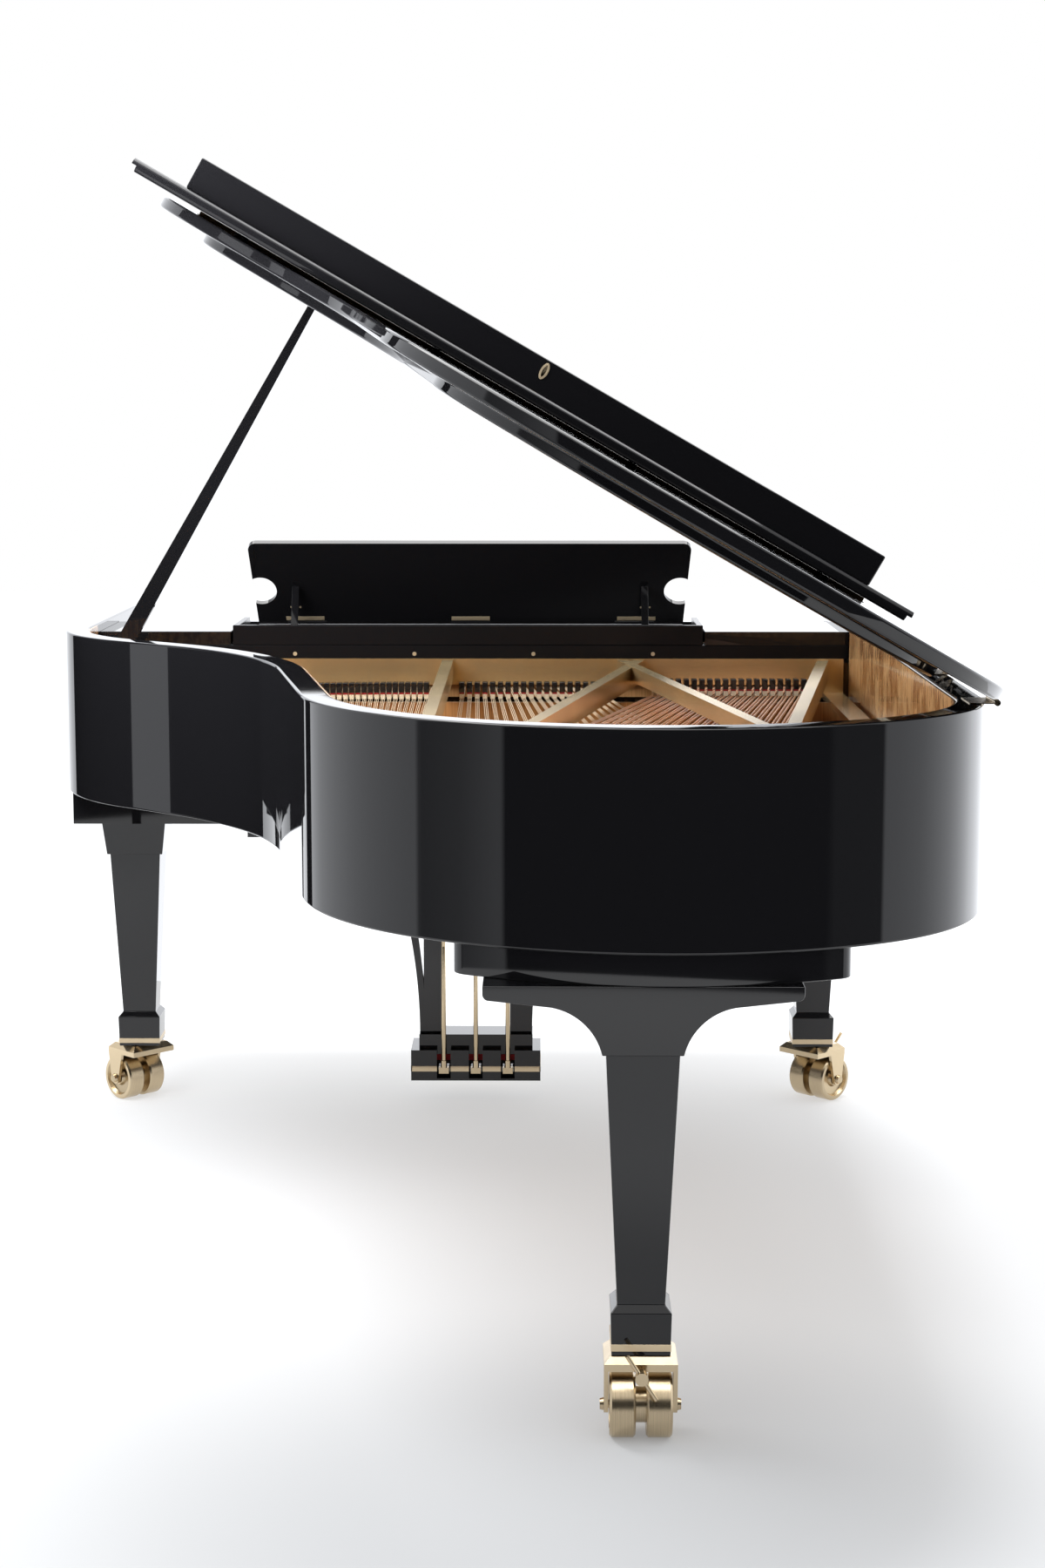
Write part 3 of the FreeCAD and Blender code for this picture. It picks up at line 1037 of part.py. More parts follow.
def make_lid_hinges():
    third = S.hinge_length / 3
    bases, leaves = [], []
    inset = S.hinge_offset
    for start in HINGE_STARTS:
        plate = Part.makeBox(S.hinge_leaf_width + inset, S.hinge_length, S.hinge_leaf,
                             V(HINGE_AXIS.x, start, S.rim_top))
        gap = Part.makeBox(2 * S.hinge_knuckle + 1, third + 0.6, 4 * S.hinge_knuckle,
                           V(HINGE_AXIS.x - S.hinge_knuckle - 0.5, start + third - 0.3, S.rim_top - 9))
        ends = [spine_knuckle(start, third - 0.3, S.hinge_knuckle),
                spine_knuckle(start + 2 * third + 0.3, third - 0.3, S.hinge_knuckle)]
        trim = Part.makeBox(S.hinge_knuckle * 2, S.hinge_length, S.hinge_knuckle * 2,
                            V(-SIDE, start, S.rim_top - S.hinge_knuckle * 2))
        base = plate.cut(gap).fuse(ends).cut(trim)
        pin = spine_knuckle(start, S.hinge_length, S.hinge_knuckle * 0.45)
        bases.append(base.fuse(pin).removeSplitter())
        over = Part.makeBox(S.hinge_leaf_width + inset, third - 0.6, S.hinge_leaf,
                            V(HINGE_AXIS.x, start + third + 0.3, LID_UNDER - S.hinge_leaf))
        bore = spine_knuckle(start, S.hinge_length, S.hinge_knuckle * 0.45 + S.running_gap)
        leaf = over.fuse(spine_knuckle(start + third + 0.3, third - 0.6, S.hinge_knuckle)).cut(bore)
        leaves.append(leaf.removeSplitter())
    node("lid_hinge_base", feature("LidHingeBase", Part.makeCompound(bases)))
    node("lid_hinge_leaves", feature("LidHingeLeaves", Part.makeCompound(leaves), LID_PLACE))


# Prop
def treble_wall(y, inset):
    """How far out the treble side is at a place along the case, a given distance inside its outer face."""
    plan = Part.Face(Part.Wire(case_edges(inset, FRONT)))
    return plan.common(Part.makeLine(V(-SIDE, y, 0), V(SIDE, y, 0))).BoundBox.XMax


def make_prop():
    place_y = S.deck_back + S.prop_back
    wall_x = treble_wall(place_y + S.prop_wall, S.rim_wall + S.veneer)
    pivot = V(wall_x - S.prop_inset, place_y, S.prop_height)
    up = LID_TURN.multVec(V(0, 0, 1))
    under = LID_PLACE.multVec(V(0, 0, LID_UNDER - S.lid_board))
    length = (under - pivot).dot(up) - S.seat_gap
    foot, head, wall = S.prop_foot / 2, S.prop_head / 2, S.prop_wall / 2
    profile = [(-foot, -wall, 0), (-head, -wall, length), (head, -wall, length), (foot, -wall, 0)]
    stick = prism(profile, (0, S.prop_wall, 0))
    heel = Part.makeCylinder(foot, S.prop_wall, V(0, -wall, 0), V(0, 1, 0))
    stick = stick.fuse(heel).removeSplitter()
    bore = Part.makeCylinder(S.prop_pin_radius + S.running_gap, S.prop_wall * 2, V(0, -S.prop_wall, 0), V(0, 1, 0))
    place = FreeCAD.Placement(pivot, LID_TURN)
    node("prop_stick", feature("PropStick", stick.cut(bore), place))
    reach = S.prop_inset
    wall_gap = wall + 1
    bracket = Part.makeBox(reach + foot, 6, 2 * foot, pivot + V(-foot, -wall_gap - 6, -foot))
    bracket = bracket.fuse(Part.makeBox(6, 2 * wall_gap + 12, 2 * foot, pivot + V(reach - 6, -wall_gap - 6, -foot)))
    pin = Part.makeCylinder(S.prop_pin_radius, S.prop_wall + wall_gap, pivot + V(0, -wall_gap - 3, 0), V(0, 1, 0))
    node("prop_bracket", feature("PropBracket", bracket.fuse(pin).removeSplitter()))


# Music desk
TRAY_LOW = S.stretcher_top + S.seat_gap
TRAY_TOP = TRAY_LOW + S.tray_floor
DESK_AXIS = V(S.tray_shift, FRONT + S.desk_hinge, TRAY_TOP + S.desk_hinge_lift)


def make_music_desk():
    floor = ("stretcher_top + seat_gap", "stretcher_top + seat_gap + tray_floor")
    rear = "front + deck_rear - 6"
    pieces = [block("TrayFloor", ("tray_shift - tray_half", "tray_shift + tray_half"), ("front + shelf_front", rear), floor),
              block("TrayRear", ("tray_shift - tray_half", "tray_shift + tray_half"), (f"{rear} - tray_edge", rear),
                    (floor[1], f"{floor[1]} + tray_edge_rise"))]
    for name, low, high in (("Bass", "tray_shift - tray_half", "tray_shift - tray_half + tray_edge"),
                            ("Treble", "tray_shift + tray_half - tray_edge", "tray_shift + tray_half")):
        pieces.append(block("TrayEnd" + name, (low, high), ("front + shelf_front + 40", rear),
                            (floor[1], f"{floor[1]} + tray_edge_rise")))
    pieces.append(block("DeskHingeRail", ("tray_shift - desk_half + desk_taper", "tray_shift + desk_half - desk_taper"),
                        ("front + desk_hinge - 5", "front + desk_hinge + 4"),
                        (floor[1], f"{floor[1]} + desk_hinge_lift - desk_knuckle - seat_gap")))
    node("music_tray", fuse("MusicTray", pieces))
    half, notch = S.desk_half, S.desk_notch
    foot_half = half - S.desk_taper
    corners = [(-foot_half, 0), (foot_half, 0), (half, S.desk_height), (-half, S.desk_height)]
    panel = prism([(x, -S.desk_wall, z) for x, z in corners], (0, S.desk_wall, 0))
    for sign in (-1, 1):
        middle = V(sign * (half - S.notch_inset), -2 * S.desk_wall, 0.4 * S.desk_height)
        panel = panel.cut(Part.makeCylinder(notch, 4 * S.desk_wall, middle, V(0, 1, 0)))
    tops = [edge for edge in panel.Edges
            if all(abs(v.Z - S.desk_height) < 0.01 for v in edge.Vertexes) and edge.Length < 2 * S.desk_wall]
    panel = panel.makeFillet(16, tops)
    for place in (-0.75 * half, 0, 0.75 * half):
        panel = panel.fuse(Part.makeCylinder(S.desk_knuckle, S.desk_hinge_length,
                                             V(place - S.desk_hinge_length / 2, 0, 0), V(1, 0, 0)))
    panel = panel.removeSplitter()
    lean = FreeCAD.Rotation(V(1, 0, 0), S.desk_angle - 90)
    node("music_desk", feature("MusicDesk", panel, FreeCAD.Placement(DESK_AXIS, lean)))
    pivot_y = S.strut_foot
    pivot_z = S.strut_lift - S.desk_hinge_lift
    desk, strut = math.radians(S.desk_angle), math.radians(S.strut_angle)
    edge_gap = S.seat_gap + S.strut_wall / 2
    distance = pivot_y * math.sin(desk) - pivot_z * math.cos(desk)
    length = (distance - edge_gap) / math.cos(strut - (math.pi / 2 - desk)) - S.strut_wall / 2
    struts = []
    for sign in (-1, 1):
        x = sign * S.strut_place - S.strut_width / 2
        body = Part.makeBox(S.strut_width, S.strut_wall, length, V(x, -S.strut_wall / 2, 0))
        heel = Part.makeCylinder(S.strut_wall / 2, S.strut_width, V(x, 0, 0), V(1, 0, 0))
        struts.append(body.fuse(heel).removeSplitter())
    tip = FreeCAD.Rotation(V(1, 0, 0), 90 - S.strut_angle)
    node("desk_struts", feature("DeskStruts", Part.makeCompound(struts),
                                FreeCAD.Placement(DESK_AXIS + V(0, pivot_y, pivot_z), tip)))


def write_parts():
    doc.recompute()
    failed = [thing.Name for thing in doc.Objects if "Invalid" in thing.State or "Error" in thing.State]
    if failed:
        raise RuntimeError(f"objects that failed: {failed}")
    for thing in NODES:
        if thing.Shape.isNull() or not thing.Shape.isValid() or not thing.Shape.Solids:
            raise RuntimeError(f"{thing.Label} has no valid shape")
    os.makedirs("parts", exist_ok=True)
    for thing in NODES:
        thing.Shape.exportStep(os.path.join("parts", thing.Label + ".step"))
        box = thing.Shape.BoundBox
        print(f"{thing.Label}: {len(thing.Shape.Solids)} solids, {thing.Shape.Volume / 1e6:.3f} litres, "
              f"x {box.XMin:.1f} {box.XMax:.1f}, y {box.YMin:.1f} {box.YMax:.1f}, z {box.ZMin:.1f} {box.ZMax:.1f}")


make_case()
make_bridges()
make_plate()
make_strings()
make_stretcher()
make_keybed()
make_keyboard()
make_fallboard()
make_dampers()
make_lyre()
make_pedals()
make_legs()
make_casters()
make_lid()
make_lid_hinges()
make_prop()
make_music_desk()
write_parts()
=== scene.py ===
"""Looks of a concert grand piano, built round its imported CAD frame."""

import json
import math

import bmesh
import bpy
from bpy.props import FloatProperty, FloatVectorProperty, PointerProperty
from mathutils import Matrix, Vector


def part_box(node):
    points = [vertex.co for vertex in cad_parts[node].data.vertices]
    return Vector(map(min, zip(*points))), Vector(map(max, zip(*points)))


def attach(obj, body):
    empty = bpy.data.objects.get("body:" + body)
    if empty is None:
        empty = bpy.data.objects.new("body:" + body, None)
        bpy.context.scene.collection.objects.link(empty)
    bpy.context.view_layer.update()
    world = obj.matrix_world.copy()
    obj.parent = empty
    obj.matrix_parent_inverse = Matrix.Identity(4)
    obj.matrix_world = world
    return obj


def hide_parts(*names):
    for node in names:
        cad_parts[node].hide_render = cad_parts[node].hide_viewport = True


bl_info = {
    "name": "Grand Piano",
    "version": (1, 0, 0),
    "blender": (4, 5, 0),
    "location": "View3D > Sidebar > Piano",
    "description": "Finishes a concert grand piano round its CAD frame",
    "category": "Object",
}

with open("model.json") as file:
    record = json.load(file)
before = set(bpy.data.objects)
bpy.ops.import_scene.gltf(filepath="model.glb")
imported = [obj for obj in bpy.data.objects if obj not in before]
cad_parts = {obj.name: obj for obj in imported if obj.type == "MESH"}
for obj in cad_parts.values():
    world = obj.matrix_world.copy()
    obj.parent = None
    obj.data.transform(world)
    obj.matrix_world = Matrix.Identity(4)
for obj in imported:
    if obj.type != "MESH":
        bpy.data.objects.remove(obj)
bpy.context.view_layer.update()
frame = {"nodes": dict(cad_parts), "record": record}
NODES = frame["nodes"]
BODY_OF = {node: body for body, members in frame["record"]["behaviour"]["bodies"].items() for node in members}
MM = 0.001
UP = Vector((0, 0, 1))
# The lid stands open about this line and by this angle.
LID_AXIS = Vector((-0.784, 0, 0.9865))
LID_ANGLE = math.radians(-30)
LID_OPEN = Matrix.Translation(LID_AXIS) @ Matrix.Rotation(LID_ANGLE, 4, "Y") @ Matrix.Translation(-LID_AXIS)
# Each pedal with its place across the case.
PEDAL_SIDES = {"left": -0.065, "middle": 0.0, "right": 0.065}
# Each caster with the direction of its axle.
CASTER_AXLES = {"treble": (1, 1, 0), "bass": (1, -1, 0), "tail": (1, 0, 0)}


def linear(hex_colour):
    """An sRGB hex colour as linear RGBA."""
    channels = [int(hex_colour[i:i + 2], 16) / 255 for i in (1, 3, 5)]
    return [c / 12.92 if c <= 0.04045 else ((c + 0.055) / 1.055) ** 2.4 for c in channels] + [1.0]


def colour(name, hex_colour, description):
    """A colour in a property group."""
    return FloatVectorProperty(name=name, description=description, default=linear(hex_colour), size=4,
                               min=0, max=1, subtype="COLOR")


def length(name, millimetres, description):
    """A length in a property group."""
    return FloatProperty(name=name, description=description, default=millimetres * MM, min=0, unit="LENGTH")


class PianoSizes(bpy.types.PropertyGroup):
    """Sizes of the details that the CAD leaves out."""

    edge_round: length("Edge rounding", 1.6, "Rounding of lacquered edges")
    rim_round: length("Rim rounding", 4, "Rounding of the rim's long edges")
    arm_round: length("Arm rounding", 40, "Rounding of the arms' front top corners")
    lid_round: length("Lid rounding", 7, "Rounding of the lid's edges")
    flap_round: length("Flap rounding", 3, "Rounding of the flap's and lip's edges")
    metal_round: length("Metal rounding", 0.8, "Rounding of brass edges")
    cast_round: length("Casting rounding", 3, "Rounding of the iron plate's edges")
    damper_round: length("Damper rounding", 1.2, "Rounding of the damper heads")
    white_key_round: length("White key rounding", 0.7, "Rounding of the white keys' edges")
    black_key_round: length("Black key rounding", 1.2, "Rounding of the black keys' edges")
    desk_leaf: length("Desk hinge leaf", 78, "Length of each brass leaf on the music desk")
    band_height: length("Foot band", 10, "Height of the brass band round each foot")
    box_band: length("Pedal box band", 11, "Height of the brass band round the pedal box")
    guide_wall: length("Guide rail", 12, "Thickness of the rail below the dampers")
    guide_gap: length("Guide rail gap", 7, "Gap between the guide rail and the damper felts")
    red_layer: length("Red felt layer", 3, "Thickness of the red felt under each damper head")
    string_spread: length("String spread", 3.0, "Distance between the strings of one note")
    bass_spread: length("Bass string spread", 6.5, "Distance between the two strings of a bass note")
    screw_radius: length("Screw radius", 4.5, "Radius of the screw heads")


class PianoColours(bpy.types.PropertyGroup):
    """Colours of the finishes."""

    lacquer: colour("Lacquer", "#131315", "Black polyester lacquer")
    iron: colour("Iron", "#EBD09E", "Bronze paint of the iron plate")
    brass: colour("Brass", "#D2BF9F", "Polished brass")
    # The flap hinge's brass, darkened with painted shade of the gap between flap and lid.
    shade_painted_brass: colour("Dark brass", "#3B2A16", "Browned brass of the flap hinge")
    steel: colour("Steel", "#D6C4A8", "Steel strings")
    copper: colour("Copper", "#F2C4A4", "Copper windings")
    spruce: colour("Spruce", "#E3BC84", "Soundboard spruce")
    spruce_line: colour("Spruce line", "#C4935A", "Darker year lines of the spruce")
    veneer: colour("Veneer", "#DDB07A", "Light ground of the inner veneer")
    veneer_fleck: colour("Veneer fleck", "#946238", "Dark flecks of the inner veneer")
    beech: colour("Beech", "#B98E5E", "Plain beech")
    ivory: colour("Key white", "#EEEAE0", "White key tops")
    ebony: colour("Key black", "#0B0A0A", "Black key sticks")
    red_felt: colour("Red felt", "#8E1418", "Red felt")
    cream_felt: colour("Cream felt", "#D9CDB4", "Hammer and damper felt")
    rubber: colour("Rubber", "#15130F", "Lid bumpers")
    floor: colour("Floor", "#F0F3F7", "Studio floor")


def set_inputs(tree, sockets, values):
    """Sets input sockets, by name or number, to values or links them to other sockets."""
    for name, value in values.items():
        if isinstance(value, bpy.types.NodeSocket):
            tree.links.new(value, sockets[name])
        else:
            sockets[name].default_value = value


def add_node(tree, kind, inputs=None, stops=(), **settings):
    """Adds a node and sets its properties, its ramp's stops and its inputs."""
    node = tree.nodes.new(kind)
    for name, value in settings.items():
        setattr(node, name, value)
    if stops:
        points = node.color_ramp.elements
        for place, value in stops[1:-1]:
            points.new(place).color = value
        points[0].position, points[0].color = stops[0]
        points[-1].position, points[-1].color = stops[-1]
    set_inputs(tree, node.inputs, inputs or {})
    return node


def noise(tree, place, size, detail, distortion=0.0):
    """Noise with spots of about the given size."""
    inputs = {"Vector": place, "Scale": 1 / size, "Detail": detail, "Distortion": distortion}
    return add_node(tree, "ShaderNodeTexNoise", inputs).outputs["Fac"]


def stretched(tree, place, spans):
    """Coordinates that count in the given spans along X, Y and Z."""
    inputs = {0: place, 1: [1 / span for span in spans]}
    return add_node(tree, "ShaderNodeVectorMath", inputs, operation="MULTIPLY").outputs["Vector"]


def tones(tree, value, *stops):
    """A colour ramp with the given stops."""
    return add_node(tree, "ShaderNodeValToRGB", {"Fac": value}, stops).outputs["Color"]


def spread(tree, value, low, high):
    """Stretches a value between 0 and 1 over another range."""
    inputs = {"Value": value, "To Min": low, "To Max": high}
    return add_node(tree, "ShaderNodeMapRange", inputs).outputs["Result"]


def bump(tree, height, strength, depth):
    """Normals of a surface with a fine relief."""
    inputs = {"Height": height, "Strength": strength, "Distance": depth}
    return add_node(tree, "ShaderNodeBump", inputs).outputs["Normal"]


def darker(tone, share):
    """A colour cut down to a share of its brightness."""
    return [channel * share for channel in tone[:3]] + [1]


def material(name, look):
    """The named material, made once, with the shader inputs that the function given returns."""
    found = bpy.data.materials.get(name)
    if found:
        return found
    made = bpy.data.materials.new(name)
    made.use_nodes = True
    tree = made.node_tree
    tree.nodes.clear()
    place = add_node(tree, "ShaderNodeTexCoord").outputs["Object"]
    shader = add_node(tree, "ShaderNodeBsdfPrincipled", look(tree, place))
    add_node(tree, "ShaderNodeOutputMaterial", {"Surface": shader.outputs["BSDF"]})
    return made


def colours():
    """The scene's colours."""
    return bpy.context.scene.piano_colours


def sizes():
    """The scene's sizes."""
    return bpy.context.scene.piano_sizes


def lacquer():
    def look(tree, place):
        # Deep black that mirrors the room, with the faint unevenness of a polished finish.
        haze = noise(tree, place, 0.35, 2.0)
        return {"Base Color": colours().lacquer, "Roughness": spread(tree, haze, 0.015, 0.045), "IOR": 1.52}
    return material("Black polyester lacquer", look)


def satin_lacquer():
    def look(tree, place):
        # Duller black on the boards inside the case, which mirror little of the bright plate.
        return {"Base Color": colours().lacquer, "Roughness": 0.22, "Specular IOR Level": 0.16}
    return material("Satin black lacquer", look)


def cast_iron():
    def look(tree, place):
        # Glossy bronze paint over sand-cast grain, so highlights are bright and slightly speckled.
        paint = colours().iron
        shade = noise(tree, place, 0.2, 2.0)
        grain = noise(tree, place, 2.5 * MM, 3.0)
        return {"Base Color": tones(tree, shade, (0.3, darker(paint, 0.8)), (0.7, paint)),
                "Normal": bump(tree, grain, 0.06, 0.3 * MM), "Metallic": 0.85, "Roughness": 0.27}
    return material("Bronze painted cast iron", look)


def brass():
    def look(tree, place):
        # Bright warm metal with faint wear that breaks up the mirror.
        wear = noise(tree, place, 18 * MM, 4.0)
        return {"Base Color": colours().brass, "Metallic": 1.0, "Roughness": spread(tree, wear, 0.12, 0.3)}
    return material("Polished brass", look)


def satin_brass():
    def look(tree, place):
        # Lacquered fittings that stay warm and bright even where they face the dark room.
        return {"Base Color": colours().brass, "Metallic": 0.5, "Roughness": 0.35}
    return material("Satin brass", look)


def pedal_brass(start, end):
    """Brass for the pedals, with the run of the pedal box along Y."""
    def look(tree, place):
        # Polished in front of the pedal box and under the rods, blackened on the levers between.
        depth = add_node(tree, "ShaderNodeSeparateXYZ", {"Vector": place}).outputs["Y"]
        inside = add_node(tree, "ShaderNodeMapRange", {"Value": depth, "From Min": start, "From Max": end})
        bright, black = colours().brass, colours().lacquer
        stops = ((0.0, bright), (0.02, black), (0.83, black), (0.85, bright))
        tone = tones(tree, inside.outputs["Result"], *stops)
        return {"Base Color": tone, "Metallic": 1.0, "Roughness": 0.22}
    return material("Pedal brass", look)


def shade_painted_brass():
    def look(tree, place):
        # Brass hinge darkened as painted shade of the gap between flap and lid, so that it only glints.
        return {"Base Color": colours().shade_painted_brass, "Metallic": 0.5, "Roughness": 0.6}
    return material("Browned brass", look)


def turned_brass(name, axle):
    """Brass for the wheels of one caster, with the direction of its axle."""
    def look(tree, place):
        # Fine lines round the axle, as a lathe leaves them, that stretch the highlights.
        metal = colours().brass
        along = Vector(axle).normalized() / (0.9 * MM)
        line = add_node(tree, "ShaderNodeVectorMath", {0: place, 1: along}, operation="DOT_PRODUCT")
        inputs = {"W": line.outputs["Value"], "Scale": 1.0, "Detail": 3.0}
        lines = add_node(tree, "ShaderNodeTexNoise", inputs, noise_dimensions="1D").outputs["Fac"]
        return {"Base Color": tones(tree, lines, (0.35, darker(metal, 0.72)), (0.65, metal)),
                "Normal": bump(tree, lines, 0.25, 0.15 * MM), "Metallic": 1.0, "Roughness": 0.27}
    return material(f"Turned brass, {name} axle", look)


def wire(name, base):
    def look(tree, place):
        # Thin drawn wire, dulled by handling, so its tone shows more than its mirror.
        return {"Base Color": base, "Metallic": 0.3, "Roughness": 0.45, "Specular IOR Level": 0.25}
    return material(name, look)


def grained(name, light, dark, pitch, run, roughness):
    """Wood with lines of one pitch across X and a slower change along Y and Z."""
    def look(tree, place):
        # Soft streaks of two tones under a thin varnish.
        streak = noise(tree, stretched(tree, place, (pitch, run, run)), 1.0, 4.0, 0.4)
        return {"Base Color": tones(tree, streak, (0.38, dark), (0.62, light)), "Roughness": roughness,
                "Specular IOR Level": 0.15}
    return material(name, look)


def veneer():
    def look(tree, place):
        # Golden ground crossed by short dark flecks and slow clouds, under a clear gloss.
        fleck = noise(tree, stretched(tree, place, (11 * MM, 11 * MM, 60 * MM)), 1.0, 4.0, 0.8)
        cloud = noise(tree, place, 0.09, 2.0)
        most = add_node(tree, "ShaderNodeMath", {0: fleck, 1: 0.7}, operation="MULTIPLY").outputs["Value"]
        both = add_node(tree, "ShaderNodeMath", {0: cloud, 1: 0.3, 2: most}, operation="MULTIPLY_ADD")
        tone = tones(tree, both.outputs["Value"], (0.43, colours().veneer_fleck), (0.54, colours().veneer))
        return {"Base Color": tone, "Roughness": 0.25, "Coat Weight": 0.6, "Coat Roughness": 0.06}
    return material("Figured inner veneer", look)


def felt(name, base):
    def look(tree, place):
        # Dull wool with a soft light edge.
        fibre = noise(tree, place, 1.2 * MM, 4.0)
        return {"Base Color": tones(tree, fibre, (0.3, darker(base, 0.6)), (0.7, base)), "Roughness": 0.95,
                "Sheen Weight": 0.3}
    return material(name, look)


def smooth(name, base, roughness):
    def look(tree, place):
        # Even colour with a soft gloss.
        return {"Base Color": base, "Roughness": roughness}
    return material(name, look)


def finish(slot_name):
    """The material for one of the record's finish slots."""
    c = colours()
    makers = {
        "black_lacquer": lacquer,
        "rim_veneer_wood": veneer,
        "spruce": lambda: grained("Spruce soundboard", c.spruce, c.spruce_line, 6 * MM, 0.5, 0.35),
        "beech": lambda: grained("Beech", c.beech, darker(c.beech, 0.75), 3 * MM, 0.12, 0.5),
        "gold_cast_iron": cast_iron,
        "brass": brass,
        "string_steel": lambda: wire("String steel", c.steel),
        "string_copper": lambda: wire("String copper", c.copper),
        "white_key": lambda: smooth("White key cover", c.ivory, 0.18),
        "black_key": lambda: smooth("Black key wood", c.ebony, 0.3),
        "damper_felt": lambda: felt("Cream felt", c.cream_felt),
        "bumper_rubber": lambda: smooth("Bumper rubber", c.rubber, 0.7),
    }
    if slot_name not in makers:
        raise ValueError(f"no finish is made for the slot {slot_name}")
    return makers[slot_name]()


def place_piece(name, bm, look, body, stands_for=(), flat=False):
    """Turns a finished mesh into a piece that rides on a CAD body."""
    mesh = bpy.data.meshes.new(name)
    for face in bm.faces:
        face.smooth = not flat
    bm.to_mesh(mesh)
    bm.free()
    mesh.materials.append(look)
    piece = bpy.data.objects.new(name, mesh)
    bpy.context.scene.collection.objects.link(piece)
    if not flat:
        even = piece.modifiers.new("Even normals", "WEIGHTED_NORMAL")
        even.weight = 100
        even.keep_sharp = True
    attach(piece, body)
    if stands_for:
        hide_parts(*stands_for)
    return piece


def round_edges(bm, width, segments=2, turn=30):
    """Bevels every edge that turns by more than the given angle."""
    bm.normal_update()
    sharp = [e for e in bm.edges if len(e.link_faces) == 2 and e.calc_face_angle(0) > math.radians(turn)]
    bmesh.ops.bevel(bm, geom=sharp, offset=width, offset_type="OFFSET", affect="EDGES", segments=segments,
                    profile=0.5, clamp_overlap=True, material=-1)


def merged_copy(node):
    """A copy of a CAD node's mesh with its doubled vertices merged."""
    bm = bmesh.new()
    bm.from_mesh(NODES[node].data)
    bmesh.ops.remove_doubles(bm, verts=bm.verts, dist=0.02 * MM)
    return bm


def node_copy(node):
    """A merged copy of a CAD node's mesh with its flat faces joined up."""
    bm = merged_copy(node)
    bmesh.ops.dissolve_limit(bm, angle_limit=math.radians(0.4), verts=bm.verts, edges=bm.edges)
    return bm


def softened(node, width, slot_name, segments=2, look=None):
    """Stands in for a CAD node with its edges rounded."""
    bm = node_copy(node)
    round_edges(bm, width, segments)
    return place_piece(f"{node}_finished", bm, look or finish(slot_name), BODY_OF[node], [node])


def dress(node, slot_name, look=None):
    """Gives a CAD node its finish and leaves its shape alone."""
    mesh = NODES[node].data
    mesh.materials.clear()
    mesh.materials.append(look or finish(slot_name))


def add_box(bm, low, high):
    """Adds a box between two corners."""
    low, high = Vector(low), Vector(high)
    size = Matrix.Diagonal((*(high - low), 1))
    return bmesh.ops.create_cube(bm, size=1, matrix=Matrix.Translation((low + high) / 2) @ size)["verts"]


def add_rod(bm, start, end, radius, end_radius=None, segments=24):
    """Adds a round rod between two points, tapered where a second radius is given."""
    start, end = Vector(start), Vector(end)
    along = end - start
    turn = along.to_track_quat("Z", "Y").to_matrix().to_4x4()
    return bmesh.ops.create_cone(bm, cap_ends=True, cap_tris=False, segments=segments, radius1=radius,
                                 radius2=radius if end_radius is None else end_radius, depth=along.length,
                                 matrix=Matrix.Translation((start + end) / 2) @ turn)["verts"]


def grown_parts(parts, kind):
    """The vertices or edges among the parts that an operator returns."""
    return [part for part in parts if isinstance(part, kind)]


class PianoOperator(bpy.types.Operator):
    """Shared settings of the piano's operators."""

    bl_options = {"REGISTER", "UNDO"}


